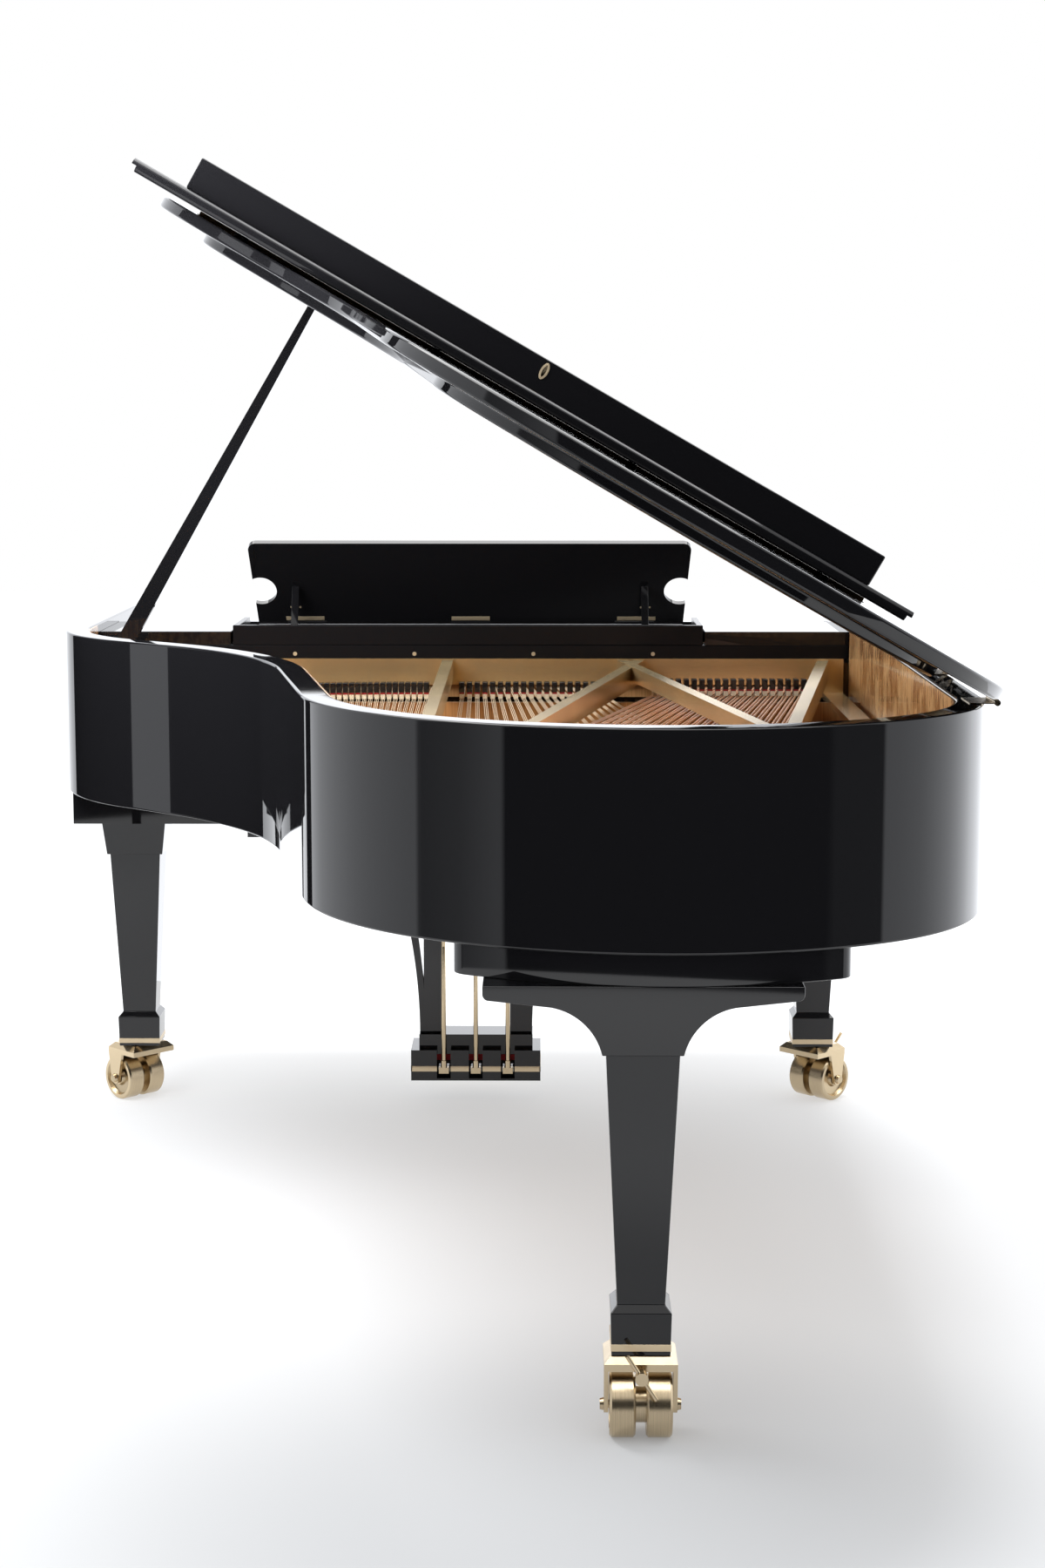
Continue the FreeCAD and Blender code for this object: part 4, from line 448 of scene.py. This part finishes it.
class PIANO_OT_case(PianoOperator):
    """Finish the rim, its veneer, the keybed and the boards round it"""

    bl_idname = "piano.case"
    bl_label = "Case"

    # The rim's plan from the treble side's straight to the bass side's: lengths, or radii with their angles.
    BENT = ((0.420, 48), (0.145,), (0.760, -38), (0.406,))
    TAIL = ((0.480, 40), (0.560, 40), (0.520, 35), (0.370, 55))
    # An arc is made of steps of about this many degrees, but at least four.
    ARC_STEP = 2
    RIM_WALL = 42 * MM
    # Places of the screws along the stretcher, their drop below its top and how far the heads stand out.
    SCREW_PLACES = (0.352, 0.117, -0.117, -0.352)
    SCREW_DROP = 17 * MM
    SCREW_HEAD = 0.6 * MM

    def travel(self, steps, heading):
        """How far a run of plan steps carries, from a heading in degrees, and the heading it ends on."""
        moved = Vector((0, 0, 0))
        for step in steps:
            start = math.radians(heading)
            if len(step) == 1:
                moved += Vector((-math.sin(start), math.cos(start), 0)) * step[0]
                continue
            heading += step[1]
            end = math.radians(heading)
            arc = Vector((math.cos(end) - math.cos(start), math.sin(end) - math.sin(start), 0))
            moved += arc * math.copysign(step[0], step[1])
        return moved, heading

    def plan(self, low, high):
        """All plan steps, with the tail scaled to the case's width and the treble straight to its length."""
        bent, heading = self.travel(self.BENT, 0)
        tail, _ = self.travel(self.TAIL, heading)
        scale = (high.x - low.x + bent.x) / -tail.x
        tail_steps = [(radius * scale, turn) for radius, turn in self.TAIL]
        to_end, _ = self.travel(tail_steps[:2], heading)
        whole_tail, _ = self.travel(tail_steps, heading)
        treble = high.y - low.y - bent.y - to_end.y
        bass = high.y + (whole_tail - to_end).y - low.y
        return [(treble,), *self.BENT, *tail_steps, (bass,)]

    def sweep(self, bm, loop):
        """Carries the rim's cross-section round the plan; the section's outer face is on the plan line."""
        low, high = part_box("outer_rim")
        point = Vector((high.x, low.y, 0))
        heading = 0
        for step in self.plan(low, high):
            angle = math.radians(heading)
            if len(step) == 1:
                run = Vector((-math.sin(angle), math.cos(angle), 0)) * step[0]
                grown = bmesh.ops.extrude_edge_only(bm, edges=loop)["geom"]
                moved = grown_parts(grown, bmesh.types.BMVert)
                bmesh.ops.translate(bm, verts=moved, vec=run)
                edges = grown_parts(grown, bmesh.types.BMEdge)
                loop = [e for e in edges if e.verts[0] in moved and e.verts[1] in moved]
                point = point + run
            else:
                turn = math.radians(step[1])
                out = Vector((math.cos(angle), math.sin(angle), 0))
                centre = point - out * math.copysign(step[0], step[1])
                steps = max(4, round(abs(step[1]) / self.ARC_STEP))
                ring = bmesh.ops.spin(bm, geom=loop, cent=centre, axis=UP, angle=turn, steps=steps)
                loop = grown_parts(ring["geom_last"], bmesh.types.BMEdge)
                point = centre + Matrix.Rotation(turn, 3, "Z") @ (point - centre)
                heading += step[1]
        return loop

    def rim(self):
        """Builds the rim anew, so that its long curves are smooth and its arms rounded."""
        low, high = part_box("outer_rim")
        inside = high.x - self.RIM_WALL
        bm = bmesh.new()
        corners = [(inside, low.z), (high.x, low.z), (high.x, high.z), (inside, high.z)]
        verts = [bm.verts.new((x, low.y, z)) for x, z in corners]
        first = bmesh.ops.contextual_create(bm, geom=verts)["faces"][0]
        last = self.sweep(bm, list(first.edges))
        bmesh.ops.contextual_create(bm, geom=last)
        bmesh.ops.recalc_face_normals(bm, faces=bm.faces)
        tops = [e for e in bm.edges
                if all(abs(v.co.y - low.y) < MM and abs(v.co.z - high.z) < MM for v in e.verts)]
        bmesh.ops.bevel(bm, geom=tops, offset=sizes().arm_round, offset_type="OFFSET", affect="EDGES",
                        segments=10, profile=0.5, material=-1)
        round_edges(bm, sizes().rim_round, 3, turn=25)
        place_piece("outer_rim_finished", bm, lacquer(), "case", ["outer_rim"])

    def execute(self, context):
        self.rim()
        for node in ("keyslip", "cheek_blocks", "side_shelves", "keybed", "tail_leg_plate"):
            softened(node, sizes().edge_round, "black_lacquer")
        softened("stretcher", sizes().edge_round, "black_lacquer", look=satin_lacquer())
        dress("rim_veneer", "rim_veneer_wood")
        for node in ("inner_rim", "belly_rail", "beams_and_ribs", "pin_block"):
            dress(node, "beech")
        bm = bmesh.new()
        _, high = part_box("stretcher")
        rise = high.z - self.SCREW_DROP
        for x in self.SCREW_PLACES:
            add_rod(bm, (x, high.y - MM, rise), (x, high.y + self.SCREW_HEAD, rise), sizes().screw_radius,
                    sizes().screw_radius * 0.8)
        place_piece("stretcher_screws", bm, satin_brass(), "case")
        return {"FINISHED"}


class PIANO_OT_strung_back(PianoOperator):
    """Finish the soundboard, bridges, plate, tuning pins, strings and dampers"""

    bl_idname = "piano.strung_back"
    bl_label = "Strung back"

    # The guide rail's start from the soundboard's bass edge, and its end past the last treble damper.
    RAIL_START = 4 * MM
    RAIL_END = 20 * MM
    FELT_HEIGHT = 12 * MM
    # The red layer stands out from the cream felt, so that only red shows there.
    RED_PROUD = 0.4 * MM

    def more_strings(self, node, slot_name, offsets):
        """Adds the other strings of each note beside the CAD's one."""
        bm = bmesh.new()
        for offset in offsets:
            fresh = merged_copy(node)
            bmesh.ops.translate(fresh, verts=fresh.verts, vec=(offset, 0, 0))
            shifted = bpy.data.meshes.new("shifted")
            fresh.to_mesh(shifted)
            fresh.free()
            bm.from_mesh(shifted)
            bpy.data.meshes.remove(shifted)
        place_piece(f"{node}_beside", bm, finish(slot_name), "case")

    def guide_rail(self):
        """Adds the rail that guides the damper wires, on the soundboard's front edge below the strings."""
        board_low, board_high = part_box("soundboard")
        felt_low, felt_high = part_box("damper_felts")
        back = board_low.y + sizes().guide_wall
        bm = bmesh.new()
        add_box(bm, (board_low.x + self.RAIL_START, board_low.y, board_high.z),
                (felt_high.x + self.RAIL_END, back, felt_low.z - sizes().guide_gap))
        round_edges(bm, sizes().edge_round)
        place_piece("damper_guide_rail", bm, finish("beech"), "case")

    def red_layers(self):
        """Adds the red felt at the top of each damper's cream felt."""
        rise = UP * (self.FELT_HEIGHT - sizes().red_layer)
        bm = node_copy("damper_felts")
        bm.normal_update()
        for face in list(bm.faces):
            out = face.normal.copy()
            if out.z < 0.5:
                bmesh.ops.translate(bm, verts=face.verts, vec=rise if out.z < -0.5 else out * self.RED_PROUD)
        red = felt("Red felt", colours().red_felt)
        place_piece("damper_red_layers", bm, red, "dampers", flat=True)

    def execute(self, context):
        dress("soundboard", "spruce")
        softened("bridges", sizes().edge_round, "beech")
        softened("iron_plate", sizes().cast_round, "gold_cast_iron", segments=3)
        for node, slot_name in (("tuning_pins", "string_steel"), ("treble_strings", "string_steel"),
                                ("bass_strings", "string_copper")):
            dress(node, slot_name)
        self.more_strings("treble_strings", "string_steel", (-sizes().string_spread, sizes().string_spread))
        self.more_strings("bass_strings", "string_copper", (sizes().bass_spread,))
        softened("damper_heads", sizes().damper_round, "black_lacquer")
        dress("damper_felts", "damper_felt")
        self.red_layers()
        self.guide_rail()
        return {"FINISHED"}


class PIANO_OT_keyboard(PianoOperator):
    """Finish the keys, hammers, key frame and fallboard"""

    bl_idname = "piano.keyboard"
    bl_label = "Keyboard"

    def execute(self, context):
        softened("white_keys", sizes().white_key_round, "white_key")
        softened("black_keys", sizes().black_key_round, "black_key")
        for node in ("white_hammers", "black_hammers", "key_frame", "action_rail"):
            dress(node, "beech")
        softened("fallboard", sizes().edge_round, "black_lacquer")
        dress("fallboard_pivots", "brass")
        return {"FINISHED"}


class PIANO_OT_music_desk(PianoOperator):
    """Finish the music desk, its tray and struts"""

    bl_idname = "piano.music_desk"
    bl_label = "Music desk"

    # The desk's hinge line, along and up, and the desk's turn from upright.
    HINGE = (-0.850, 0.9693)
    LEAN = math.radians(-30)
    # Places of the hinge leaves and of the screws at the struts, as shares of half the desk's width.
    LEAF_PLACES = (-0.76, 0, 0.76)
    STRUT_PLACES = (-0.8, 0.8)
    # Each leaf's bottom and top above the hinge line, and its faces from the desk's.
    LEAF_BOTTOM, LEAF_TOP = 5 * MM, 14 * MM
    LEAF_BACK, LEAF_FRONT = -0.2 * MM, 0.9 * MM
    # Screws at a strut, across and up from the hinge line.
    STRUT_SCREWS = ((-9 * MM, 37 * MM), (9 * MM, 37 * MM), (0, 46 * MM))

    def screw(self, bm, x, z, front, radius):
        """Adds a screw head on the desk's upright face."""
        add_rod(bm, (x, 0, z), (x, front, z), radius, segments=12)

    def execute(self, context):
        softened("music_tray", sizes().edge_round, "black_lacquer", look=satin_lacquer())
        softened("music_desk", sizes().edge_round, "black_lacquer")
        softened("desk_struts", sizes().metal_round, "black_lacquer")
        low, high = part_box("music_desk")
        middle, half = (low.x + high.x) / 2, (high.x - low.x) / 2
        leaf = sizes().desk_leaf / 2
        bm = bmesh.new()
        for share in self.LEAF_PLACES:
            x = share * half
            add_box(bm, (x - leaf, self.LEAF_BACK, self.LEAF_BOTTOM),
                    (x + leaf, self.LEAF_FRONT, self.LEAF_TOP))
            for side in (-0.7, 0, 0.7):
                self.screw(bm, x + side * leaf, (self.LEAF_BOTTOM + self.LEAF_TOP) / 2, 1.5 * MM, 2 * MM)
        for share in self.STRUT_PLACES:
            for across, rise in self.STRUT_SCREWS:
                self.screw(bm, share * half + across, rise, 1.2 * MM, 2.2 * MM)
        stand = Matrix.Translation((middle, *self.HINGE)) @ Matrix.Rotation(self.LEAN, 4, "X")
        bmesh.ops.transform(bm, verts=bm.verts, matrix=stand)
        place_piece("desk_fittings", bm, satin_brass(), "desk")
        return {"FINISHED"}


class PIANO_OT_lid(PianoOperator):
    """Finish the lid, its flap, lip, hinges and prop"""

    bl_idname = "piano.lid"
    bl_label = "Lid and prop"

    # The lid ends at the waist before the CAD's outer row of bumpers, so that row is seated further in, by
    # this share of the distance between the rows.
    ROW_SHIFT = 0.6
    # The lock plate on the folded flap, for a closed lid: middle of its back, thickness, radius, stretch to
    # an oval, width of its rim and depth of the hollow inside it.
    LOCK_PLACE = Vector((0.015, -0.0455, 1.078))
    LOCK_THICKNESS = Vector((0, 2 * MM, 0))
    LOCK_RADIUS = 9 * MM
    LOCK_STRETCH = (0.8, 1, 1.7)
    LOCK_RIM = 4 * MM
    LOCK_HOLLOW = 1.5 * MM

    def bumpers(self):
        """Stands in for the bumpers with their outer row on the lid."""
        bm = node_copy("lid_bumpers")
        low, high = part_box("lid_bumpers")
        outer_row = [v for v in bm.verts if v.co.y > (low.y + high.y) / 2]
        bmesh.ops.translate(bm, verts=outer_row, vec=(0, self.ROW_SHIFT * (low.y - high.y), 0))
        place_piece("lid_bumpers_seated", bm, finish("bumper_rubber"), "lid",
                    ["lid_bumpers"])

    def lock_plate(self):
        """Adds the oval plate of the flap's lock."""
        bm = bmesh.new()
        oval = add_rod(bm, self.LOCK_PLACE, self.LOCK_PLACE + self.LOCK_THICKNESS, self.LOCK_RADIUS)
        middle = Matrix.Translation((-self.LOCK_PLACE.x, 0, -self.LOCK_PLACE.z))
        bmesh.ops.scale(bm, verts=oval, vec=self.LOCK_STRETCH, space=middle)
        faces = [f for f in bm.faces if len(f.verts) > 4 and f.normal.y > 0.9]
        bmesh.ops.inset_region(bm, faces=faces, thickness=self.LOCK_RIM, depth=0)
        inner = list({v for f in faces for v in f.verts})
        bmesh.ops.translate(bm, verts=inner, vec=(0, -self.LOCK_HOLLOW, 0))
        bmesh.ops.transform(bm, verts=bm.verts, matrix=LID_OPEN)
        place_piece("lock_plate", bm, satin_brass(), "flap")

    def execute(self, context):
        softened("main_lid", sizes().lid_round, "black_lacquer", segments=5)
        for node in ("front_flap", "flap_lip"):
            softened(node, sizes().flap_round, "black_lacquer", segments=4)
        softened("prop_stick", sizes().edge_round, "black_lacquer")
        self.bumpers()
        # The flap hinge gets brass darkened with painted shade of its gap.
        dress("flap_hinge", "brass", shade_painted_brass())
        for node in ("lid_hinge_base", "lid_hinge_leaves", "prop_bracket"):
            dress(node, "brass")
        self.lock_plate()
        return {"FINISHED"}


class PIANO_OT_lyre(PianoOperator):
    """Finish the pedal lyre, its pedals and rods"""

    bl_idname = "piano.lyre"
    bl_label = "Lyre and pedals"

    HALF_SLOT = 14 * MM
    HALF_LEVER = 11.5 * MM
    # The brass band's height above the box's bottom, and how far it stands out of the box and goes into it.
    BAND_RISE = 19 * MM
    BAND_PROUD = 0.4 * MM
    BAND_SUNK = 2 * MM
    # What lies round a lever in its slot: left and right of the pedal's middle, bottom and top above the
    # bottom of the box.
    FELTS = ((-HALF_SLOT, HALF_SLOT, 38 * MM, 50 * MM),)
    LINERS = ((-HALF_SLOT, HALF_SLOT, 31 * MM, 38 * MM), (-HALF_SLOT, HALF_SLOT, 4.5 * MM, 13 * MM),
              (-HALF_SLOT, -HALF_LEVER, 13 * MM, 31 * MM), (HALF_LEVER, HALF_SLOT, 13 * MM, 31 * MM))
    # Distances of the fillings' faces from the back of the box.
    FILLING_FRONT, FILLING_BACK = 26 * MM, 20 * MM
    # The blackened part of the levers starts this far behind the front of the box.
    LEVER_START = 6 * MM
    # Each rod's sleeve: bottom and top above the rod's end, and the radii there.
    SLEEVE_BOTTOM, SLEEVE_TOP = 14 * MM, 250 * MM
    SLEEVE_RADII = (5.0 * MM, 4.15 * MM)

    def band_wall(self, face, way):
        """The two faces of the band on a wall of the box that looks the given way, in rising order."""
        return sorted((face - way * self.BAND_SUNK, face + way * self.BAND_PROUD))

    def band(self):
        """Adds the brass band round the box, left open at the pedal slots."""
        low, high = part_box("pedal_box")
        bottom = low.z + self.BAND_RISE
        top = low.z + self.BAND_RISE + sizes().box_band
        slot_edges = [x + side for x in sorted(PEDAL_SIDES.values())
                      for side in (-self.HALF_SLOT, self.HALF_SLOT)]
        ends = [low.x, *slot_edges, high.x]
        bm = bmesh.new()
        for start, end in zip(ends[::2], ends[1::2]):
            for face, way in ((low.y, -1), (high.y, 1)):
                near, far = self.band_wall(face, way)
                add_box(bm, (start, near, bottom), (end, far, top))
        for face, way in ((low.x, -1), (high.x, 1)):
            near, far = self.band_wall(face, way)
            add_box(bm, (near, low.y - self.BAND_PROUD, bottom), (far, high.y + self.BAND_PROUD, top))
        place_piece("pedal_box_band", bm, satin_brass(), "case")

    def slot_filling(self, name, fillings, look, slot_name):
        """Adds boxes round the lever in each pedal slot."""
        low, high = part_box("pedal_box")
        bm = bmesh.new()
        for x in PEDAL_SIDES.values():
            for left, right, bottom, top in fillings:
                add_box(bm, (x + left, high.y - self.FILLING_FRONT, low.z + bottom),
                        (x + right, high.y - self.FILLING_BACK, low.z + top))
        place_piece(name, bm, look, "case")

    def rod_sleeve(self, side, x):
        """Adds the sleeve on the lower end of a pedal's rod."""
        low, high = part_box(f"{side}_pedal_rod")
        y = (low.y + high.y) / 2
        bm = bmesh.new()
        add_rod(bm, (x, y, low.z + self.SLEEVE_BOTTOM), (x, y, low.z + self.SLEEVE_TOP), *self.SLEEVE_RADII)
        place_piece(f"{side}_rod_sleeve", bm, brass(), BODY_OF[f"{side}_pedal_rod"])

    def execute(self, context):
        for node in ("pedal_box", "lyre_frame"):
            softened(node, sizes().edge_round, "black_lacquer")
        self.band()
        self.slot_filling("pedal_slot_felts", self.FELTS, felt("Red felt", colours().red_felt), "damper_felt")
        self.slot_filling("pedal_slot_liners", self.LINERS, satin_lacquer(), "black_lacquer")
        low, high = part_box("pedal_box")
        look = pedal_brass(low.y + self.LEVER_START, high.y)
        for side, x in PEDAL_SIDES.items():
            softened(f"{side}_pedal", sizes().metal_round, "brass", look=look)
            dress(f"{side}_pedal_rod", "brass")
            self.rod_sleeve(side, x)
        return {"FINISHED"}


class PIANO_OT_legs(PianoOperator):
    """Finish the legs with their brass foot bands"""

    bl_idname = "piano.legs"
    bl_label = "Legs"

    # The bands' height above the feet's bottom, and how far they stand out.
    BAND_RISE = 6 * MM
    BAND_PROUD = MM

    def execute(self, context):
        bm = bmesh.new()
        for node in ("leg_treble", "leg_bass", "leg_tail"):
            softened(node, sizes().edge_round, "black_lacquer")
            low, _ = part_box(node)
            foot = [v.co for v in NODES[node].data.vertices if v.co.z < low.z + MM]
            middle = sum(foot, Vector()) / len(foot)
            half = max(corner.x for corner in foot) - middle.x + self.BAND_PROUD
            bottom = low.z + self.BAND_RISE
            add_box(bm, (middle.x - half, middle.y - half, bottom),
                    (middle.x + half, middle.y + half, bottom + sizes().band_height))
        round_edges(bm, sizes().metal_round)
        place_piece("foot_bands", bm, satin_brass(), "case")
        return {"FINISHED"}


class PIANO_OT_casters(PianoOperator):
    """Finish the casters, their wheels and brake screws"""

    bl_idname = "piano.casters"
    bl_label = "Casters"

    def execute(self, context):
        for corner, axle in CASTER_AXLES.items():
            softened(f"caster_fork_{corner}", sizes().metal_round, "brass")
            dress(f"caster_wheels_{corner}", "wheel_brass", turned_brass(corner, axle))
            dress(f"brake_screw_{corner}", "brass")
        return {"FINISHED"}


class PIANO_OT_stage(PianoOperator):
    """Set the white studio, its dark flats and the camera"""

    bl_idname = "piano.stage"
    bl_label = "Stage"

    # What the lacquer mirrors: share of a turn from -X through -Y, and the brightness of the wall there.
    WALL = ((0.0, 1.15), (0.06, 1.6), (0.12, 2.4), (0.25, 2.0), (0.38, 1.05), (0.43, 1.1), (0.5, 1.05),
            (0.536, 1.0), (0.5395, 0.2), (0.58, 0.33), (0.617, 0.66), (0.62, 0.0), (0.893, 0.0), (0.896, 0.1),
            (0.946, 0.1), (0.949, 1.04), (1.0, 1.15))
    BRIGHTEST = 2.5
    COOL = (0.94, 0.96, 1.0)
    WALL_RADIUS, WALL_HEIGHT, WALL_MIDDLE = 40, 45, (0, 0, 6)
    # Only the floor this near is mirrored, as far as the tail leg's top shows it. The rest reaches out to a
    # multiple of that.
    NEAR_FLOOR = 2.97
    FLOOR_REACH = 6
    # The floors are laid round this point; the floor's glow is weakest near it and grows outwards, a painted
    # shadow round the piano.
    FLOOR_MIDDLE = (-0.1, 1.1, 0)
    # The floor's glow is cut most before the tail leg, a painted shadow that is deepest there.
    PAINTED_SHADOW_MIDDLE = (-0.2, 1.35, 0)
    # Each cloth's place across, and its start and end along the case.
    CLOTHS = {"front_cloth": (0.9, -0.55, -0.2), "side_cloth": (0.7, -0.122, 0.0)}
    CLOTH_BOTTOM, CLOTH_TOP = -0.4, 2.5
    OVERHEAD_SIZE, OVERHEAD_PLACE = 6, (0, -2, 9)
    # Each lamp's place, target, size and power.
    LAMPS = {"Soft lamp": ((-0.85, -0.9, 4.5), (-0.5, 0.2, 0.0), 0.9, 140),
             "Case lamp": ((0.75, 0.2, 1.72), (-0.15, 0.0, 0.85), 1.0, 38)}
    CAMERA_PLACE, CAMERA_AIM = (-0.139, 4.666, 1.4006), (0.0082, -1, -0.1388)
    CAMERA_LENS, CAMERA_SENSOR, CAMERA_REACH = 62, 36, 100

    def sheet(self, name, bm, look, mirrored_only=False):
        """Puts up a mesh that is no part of the piano."""
        mesh = bpy.data.meshes.new(name)
        bm.to_mesh(mesh)
        bm.free()
        mesh.materials.append(look)
        made = bpy.data.objects.new(name, mesh)
        bpy.context.scene.collection.objects.link(made)
        if mirrored_only:
            made.visible_camera = False
            made.visible_diffuse = False
            made.visible_shadow = False
            made.visible_transmission = False
        return made

    def glow(self, name, build):
        """A material of light and matt shaders built by the function given."""
        made = bpy.data.materials.new(name)
        made.use_nodes = True
        tree = made.node_tree
        tree.nodes.clear()
        add_node(tree, "ShaderNodeOutputMaterial", {"Surface": build(tree).outputs[0]})
        return made

    def lamp(self, name, place, target, size, power):
        """A soft square lamp aimed at a point."""
        light = bpy.data.lights.new(name, "AREA")
        light.size = size
        light.energy = power
        made = bpy.data.objects.new(name, light)
        bpy.context.scene.collection.objects.link(made)
        made.location = place
        made.rotation_euler = (Vector(target) - Vector(place)).to_track_quat("-Z", "Y").to_euler()
        made.visible_glossy = False
        made.visible_camera = False

    def by_distance(self, tree, place, middle, start, end):
        """A value that goes softly from one distance and level to another, away from a point on the floor."""
        away = add_node(tree, "ShaderNodeVectorMath", {0: place, 1: middle}, operation="DISTANCE")
        inputs = {"Value": away.outputs["Value"], "From Min": start[0], "From Max": end[0],
                  "To Min": start[1], "To Max": end[1]}
        return add_node(tree, "ShaderNodeMapRange", inputs, interpolation_type="SMOOTHSTEP").outputs["Result"]

    def floor_look(self, tree):
        # Matt white that keeps the piano's light grey shadow and runs out into the white room; its glow is
        # weaker near the piano and cut before the tail leg, which paints more shadow there.
        matt = add_node(tree, "ShaderNodeBsdfDiffuse", {"Color": darker(colours().floor, 0.5)})
        place = add_node(tree, "ShaderNodeTexCoord").outputs["Object"]
        # Painted shadow: less glow near the piano, and less again before the tail leg.
        glow = self.by_distance(tree, place, self.FLOOR_MIDDLE, (1.3, 0.4), (2.8, 0.75))
        shade = self.by_distance(tree, place, self.PAINTED_SHADOW_MIDDLE, (0.25, 0.19), (0.85, 0.0))
        left = add_node(tree, "ShaderNodeMath", {0: glow, 1: shade}, operation="SUBTRACT").outputs["Value"]
        light = add_node(tree, "ShaderNodeEmission", {"Strength": left})
        return add_node(tree, "ShaderNodeAddShader", {0: matt.outputs[0], 1: light.outputs[0]})

    def wall_look(self, tree):
        # White walls at the back and sides, and a dark room behind the camera.
        place = add_node(tree, "ShaderNodeTexCoord").outputs["Object"]
        turn = add_node(tree, "ShaderNodeTexGradient", {"Vector": place}, gradient_type="RADIAL")
        stops = [(where, [bright / self.BRIGHTEST * tint for tint in self.COOL] + [1])
                 for where, bright in self.WALL]
        tone = tones(tree, turn.outputs["Fac"], *stops)
        return add_node(tree, "ShaderNodeEmission", {"Color": tone, "Strength": self.BRIGHTEST})

    def overhead_look(self, tree):
        # A bright sheet overhead that draws thin highlights along the rounded edges.
        return add_node(tree, "ShaderNodeEmission", {"Strength": 6.0})

    def cloth_look(self, tree):
        # Black cloths just outside the picture, for dark stripes on the treble side.
        return add_node(tree, "ShaderNodeEmission", {"Strength": 0.0})

    def floors(self):
        """Lays the near floor and, round it, the far floor that nothing mirrors."""
        look = self.glow("White studio floor", self.floor_look)
        middle = Matrix.Translation(self.FLOOR_MIDDLE)
        bm = bmesh.new()
        bmesh.ops.create_circle(bm, cap_ends=True, segments=128, radius=self.NEAR_FLOOR, matrix=middle)
        self.sheet("studio_floor_near", bm, look)
        bm = bmesh.new()
        ring = bmesh.ops.create_circle(bm, segments=128, radius=self.NEAR_FLOOR, matrix=middle)
        edges = list({e for v in ring["verts"] for e in v.link_edges})
        grown = bmesh.ops.extrude_edge_only(bm, edges=edges)["geom"]
        outer = grown_parts(grown, bmesh.types.BMVert)
        reach = (self.FLOOR_REACH, self.FLOOR_REACH, 1)
        bmesh.ops.scale(bm, verts=outer, vec=reach, space=middle.inverted())
        self.sheet("studio_floor_far", bm, look).visible_glossy = False

    def walls(self):
        """Puts up what the lacquer mirrors: the round wall, two cloths and the light overhead."""
        bm = bmesh.new()
        bmesh.ops.create_cone(bm, segments=96, radius1=self.WALL_RADIUS, radius2=self.WALL_RADIUS,
                              depth=self.WALL_HEIGHT, matrix=Matrix.Translation(self.WALL_MIDDLE))
        self.sheet("studio_wall", bm, self.glow("Studio wall", self.wall_look), mirrored_only=True)
        cloth = self.glow("Black studio cloth", self.cloth_look)
        bottom, top = self.CLOTH_BOTTOM, self.CLOTH_TOP
        for name, (x, start, end) in self.CLOTHS.items():
            bm = bmesh.new()
            corners = ((x, start, bottom), (x, end, bottom), (x, end, top), (x, start, top))
            bmesh.ops.contextual_create(bm, geom=[bm.verts.new(corner) for corner in corners])
            self.sheet(name, bm, cloth, mirrored_only=True)
        bm = bmesh.new()
        bmesh.ops.create_grid(bm, x_segments=1, y_segments=1, size=self.OVERHEAD_SIZE,
                              matrix=Matrix.Translation(self.OVERHEAD_PLACE))
        self.sheet("overhead_light", bm, self.glow("Overhead light", self.overhead_look), mirrored_only=True)

    def sky(self, scene):
        """Fills the room with even white light."""
        world = bpy.data.worlds.new("White studio")
        scene.world = world
        world.use_nodes = True
        tree = world.node_tree
        tree.nodes.clear()
        light = add_node(tree, "ShaderNodeBackground", {"Color": (1, 1, 1, 1), "Strength": 1.0})
        add_node(tree, "ShaderNodeOutputWorld", {"Surface": light.outputs[0]})

    def camera(self, scene):
        """Sets the camera where the photo was taken from."""
        data = bpy.data.cameras.new("Camera")
        data.lens = self.CAMERA_LENS
        data.sensor_width = self.CAMERA_SENSOR
        data.clip_end = self.CAMERA_REACH
        made = bpy.data.objects.new("Camera", data)
        scene.collection.objects.link(made)
        made.location = self.CAMERA_PLACE
        made.rotation_euler = Vector(self.CAMERA_AIM).to_track_quat("-Z", "Y").to_euler()
        scene.camera = made

    def execute(self, context):
        scene = context.scene
        self.floors()
        self.walls()
        self.sky(scene)
        for name, setting in self.LAMPS.items():
            self.lamp(name, *setting)
        scene.view_settings.view_transform = "Standard"
        self.camera(scene)
        return {"FINISHED"}


OPERATORS = (PIANO_OT_case, PIANO_OT_strung_back, PIANO_OT_keyboard, PIANO_OT_music_desk, PIANO_OT_lid,
             PIANO_OT_lyre, PIANO_OT_legs, PIANO_OT_casters, PIANO_OT_stage)


class PIANO_PT_panel(bpy.types.Panel):
    """Sizes, colours and steps of the piano"""

    bl_idname = "PIANO_PT_panel"
    bl_label = "Grand Piano"
    bl_space_type = "VIEW_3D"
    bl_region_type = "UI"
    bl_category = "Piano"

    def draw(self, context):
        for group in (context.scene.piano_sizes, context.scene.piano_colours):
            for name in group.__annotations__:
                self.layout.prop(group, name)
        for operator in OPERATORS:
            self.layout.operator(operator.bl_idname)


CLASSES = (PianoSizes, PianoColours, *OPERATORS, PIANO_PT_panel)


def register():
    """Registers the classes and gives each scene its sizes and colours."""
    for cls in CLASSES:
        bpy.utils.register_class(cls)
    bpy.types.Scene.piano_sizes = PointerProperty(type=PianoSizes)
    bpy.types.Scene.piano_colours = PointerProperty(type=PianoColours)


def unregister():
    """Takes back what register has done."""
    del bpy.types.Scene.piano_colours
    del bpy.types.Scene.piano_sizes
    for cls in reversed(CLASSES):
        bpy.utils.unregister_class(cls)


def main():
    """Builds everything in this scene."""
    register()
    for operator in OPERATORS:
        group, name = operator.bl_idname.split(".")
        getattr(getattr(bpy.ops, group), name)()
    bpy.context.view_layer.update()


if __name__ == "__main__":
    main()
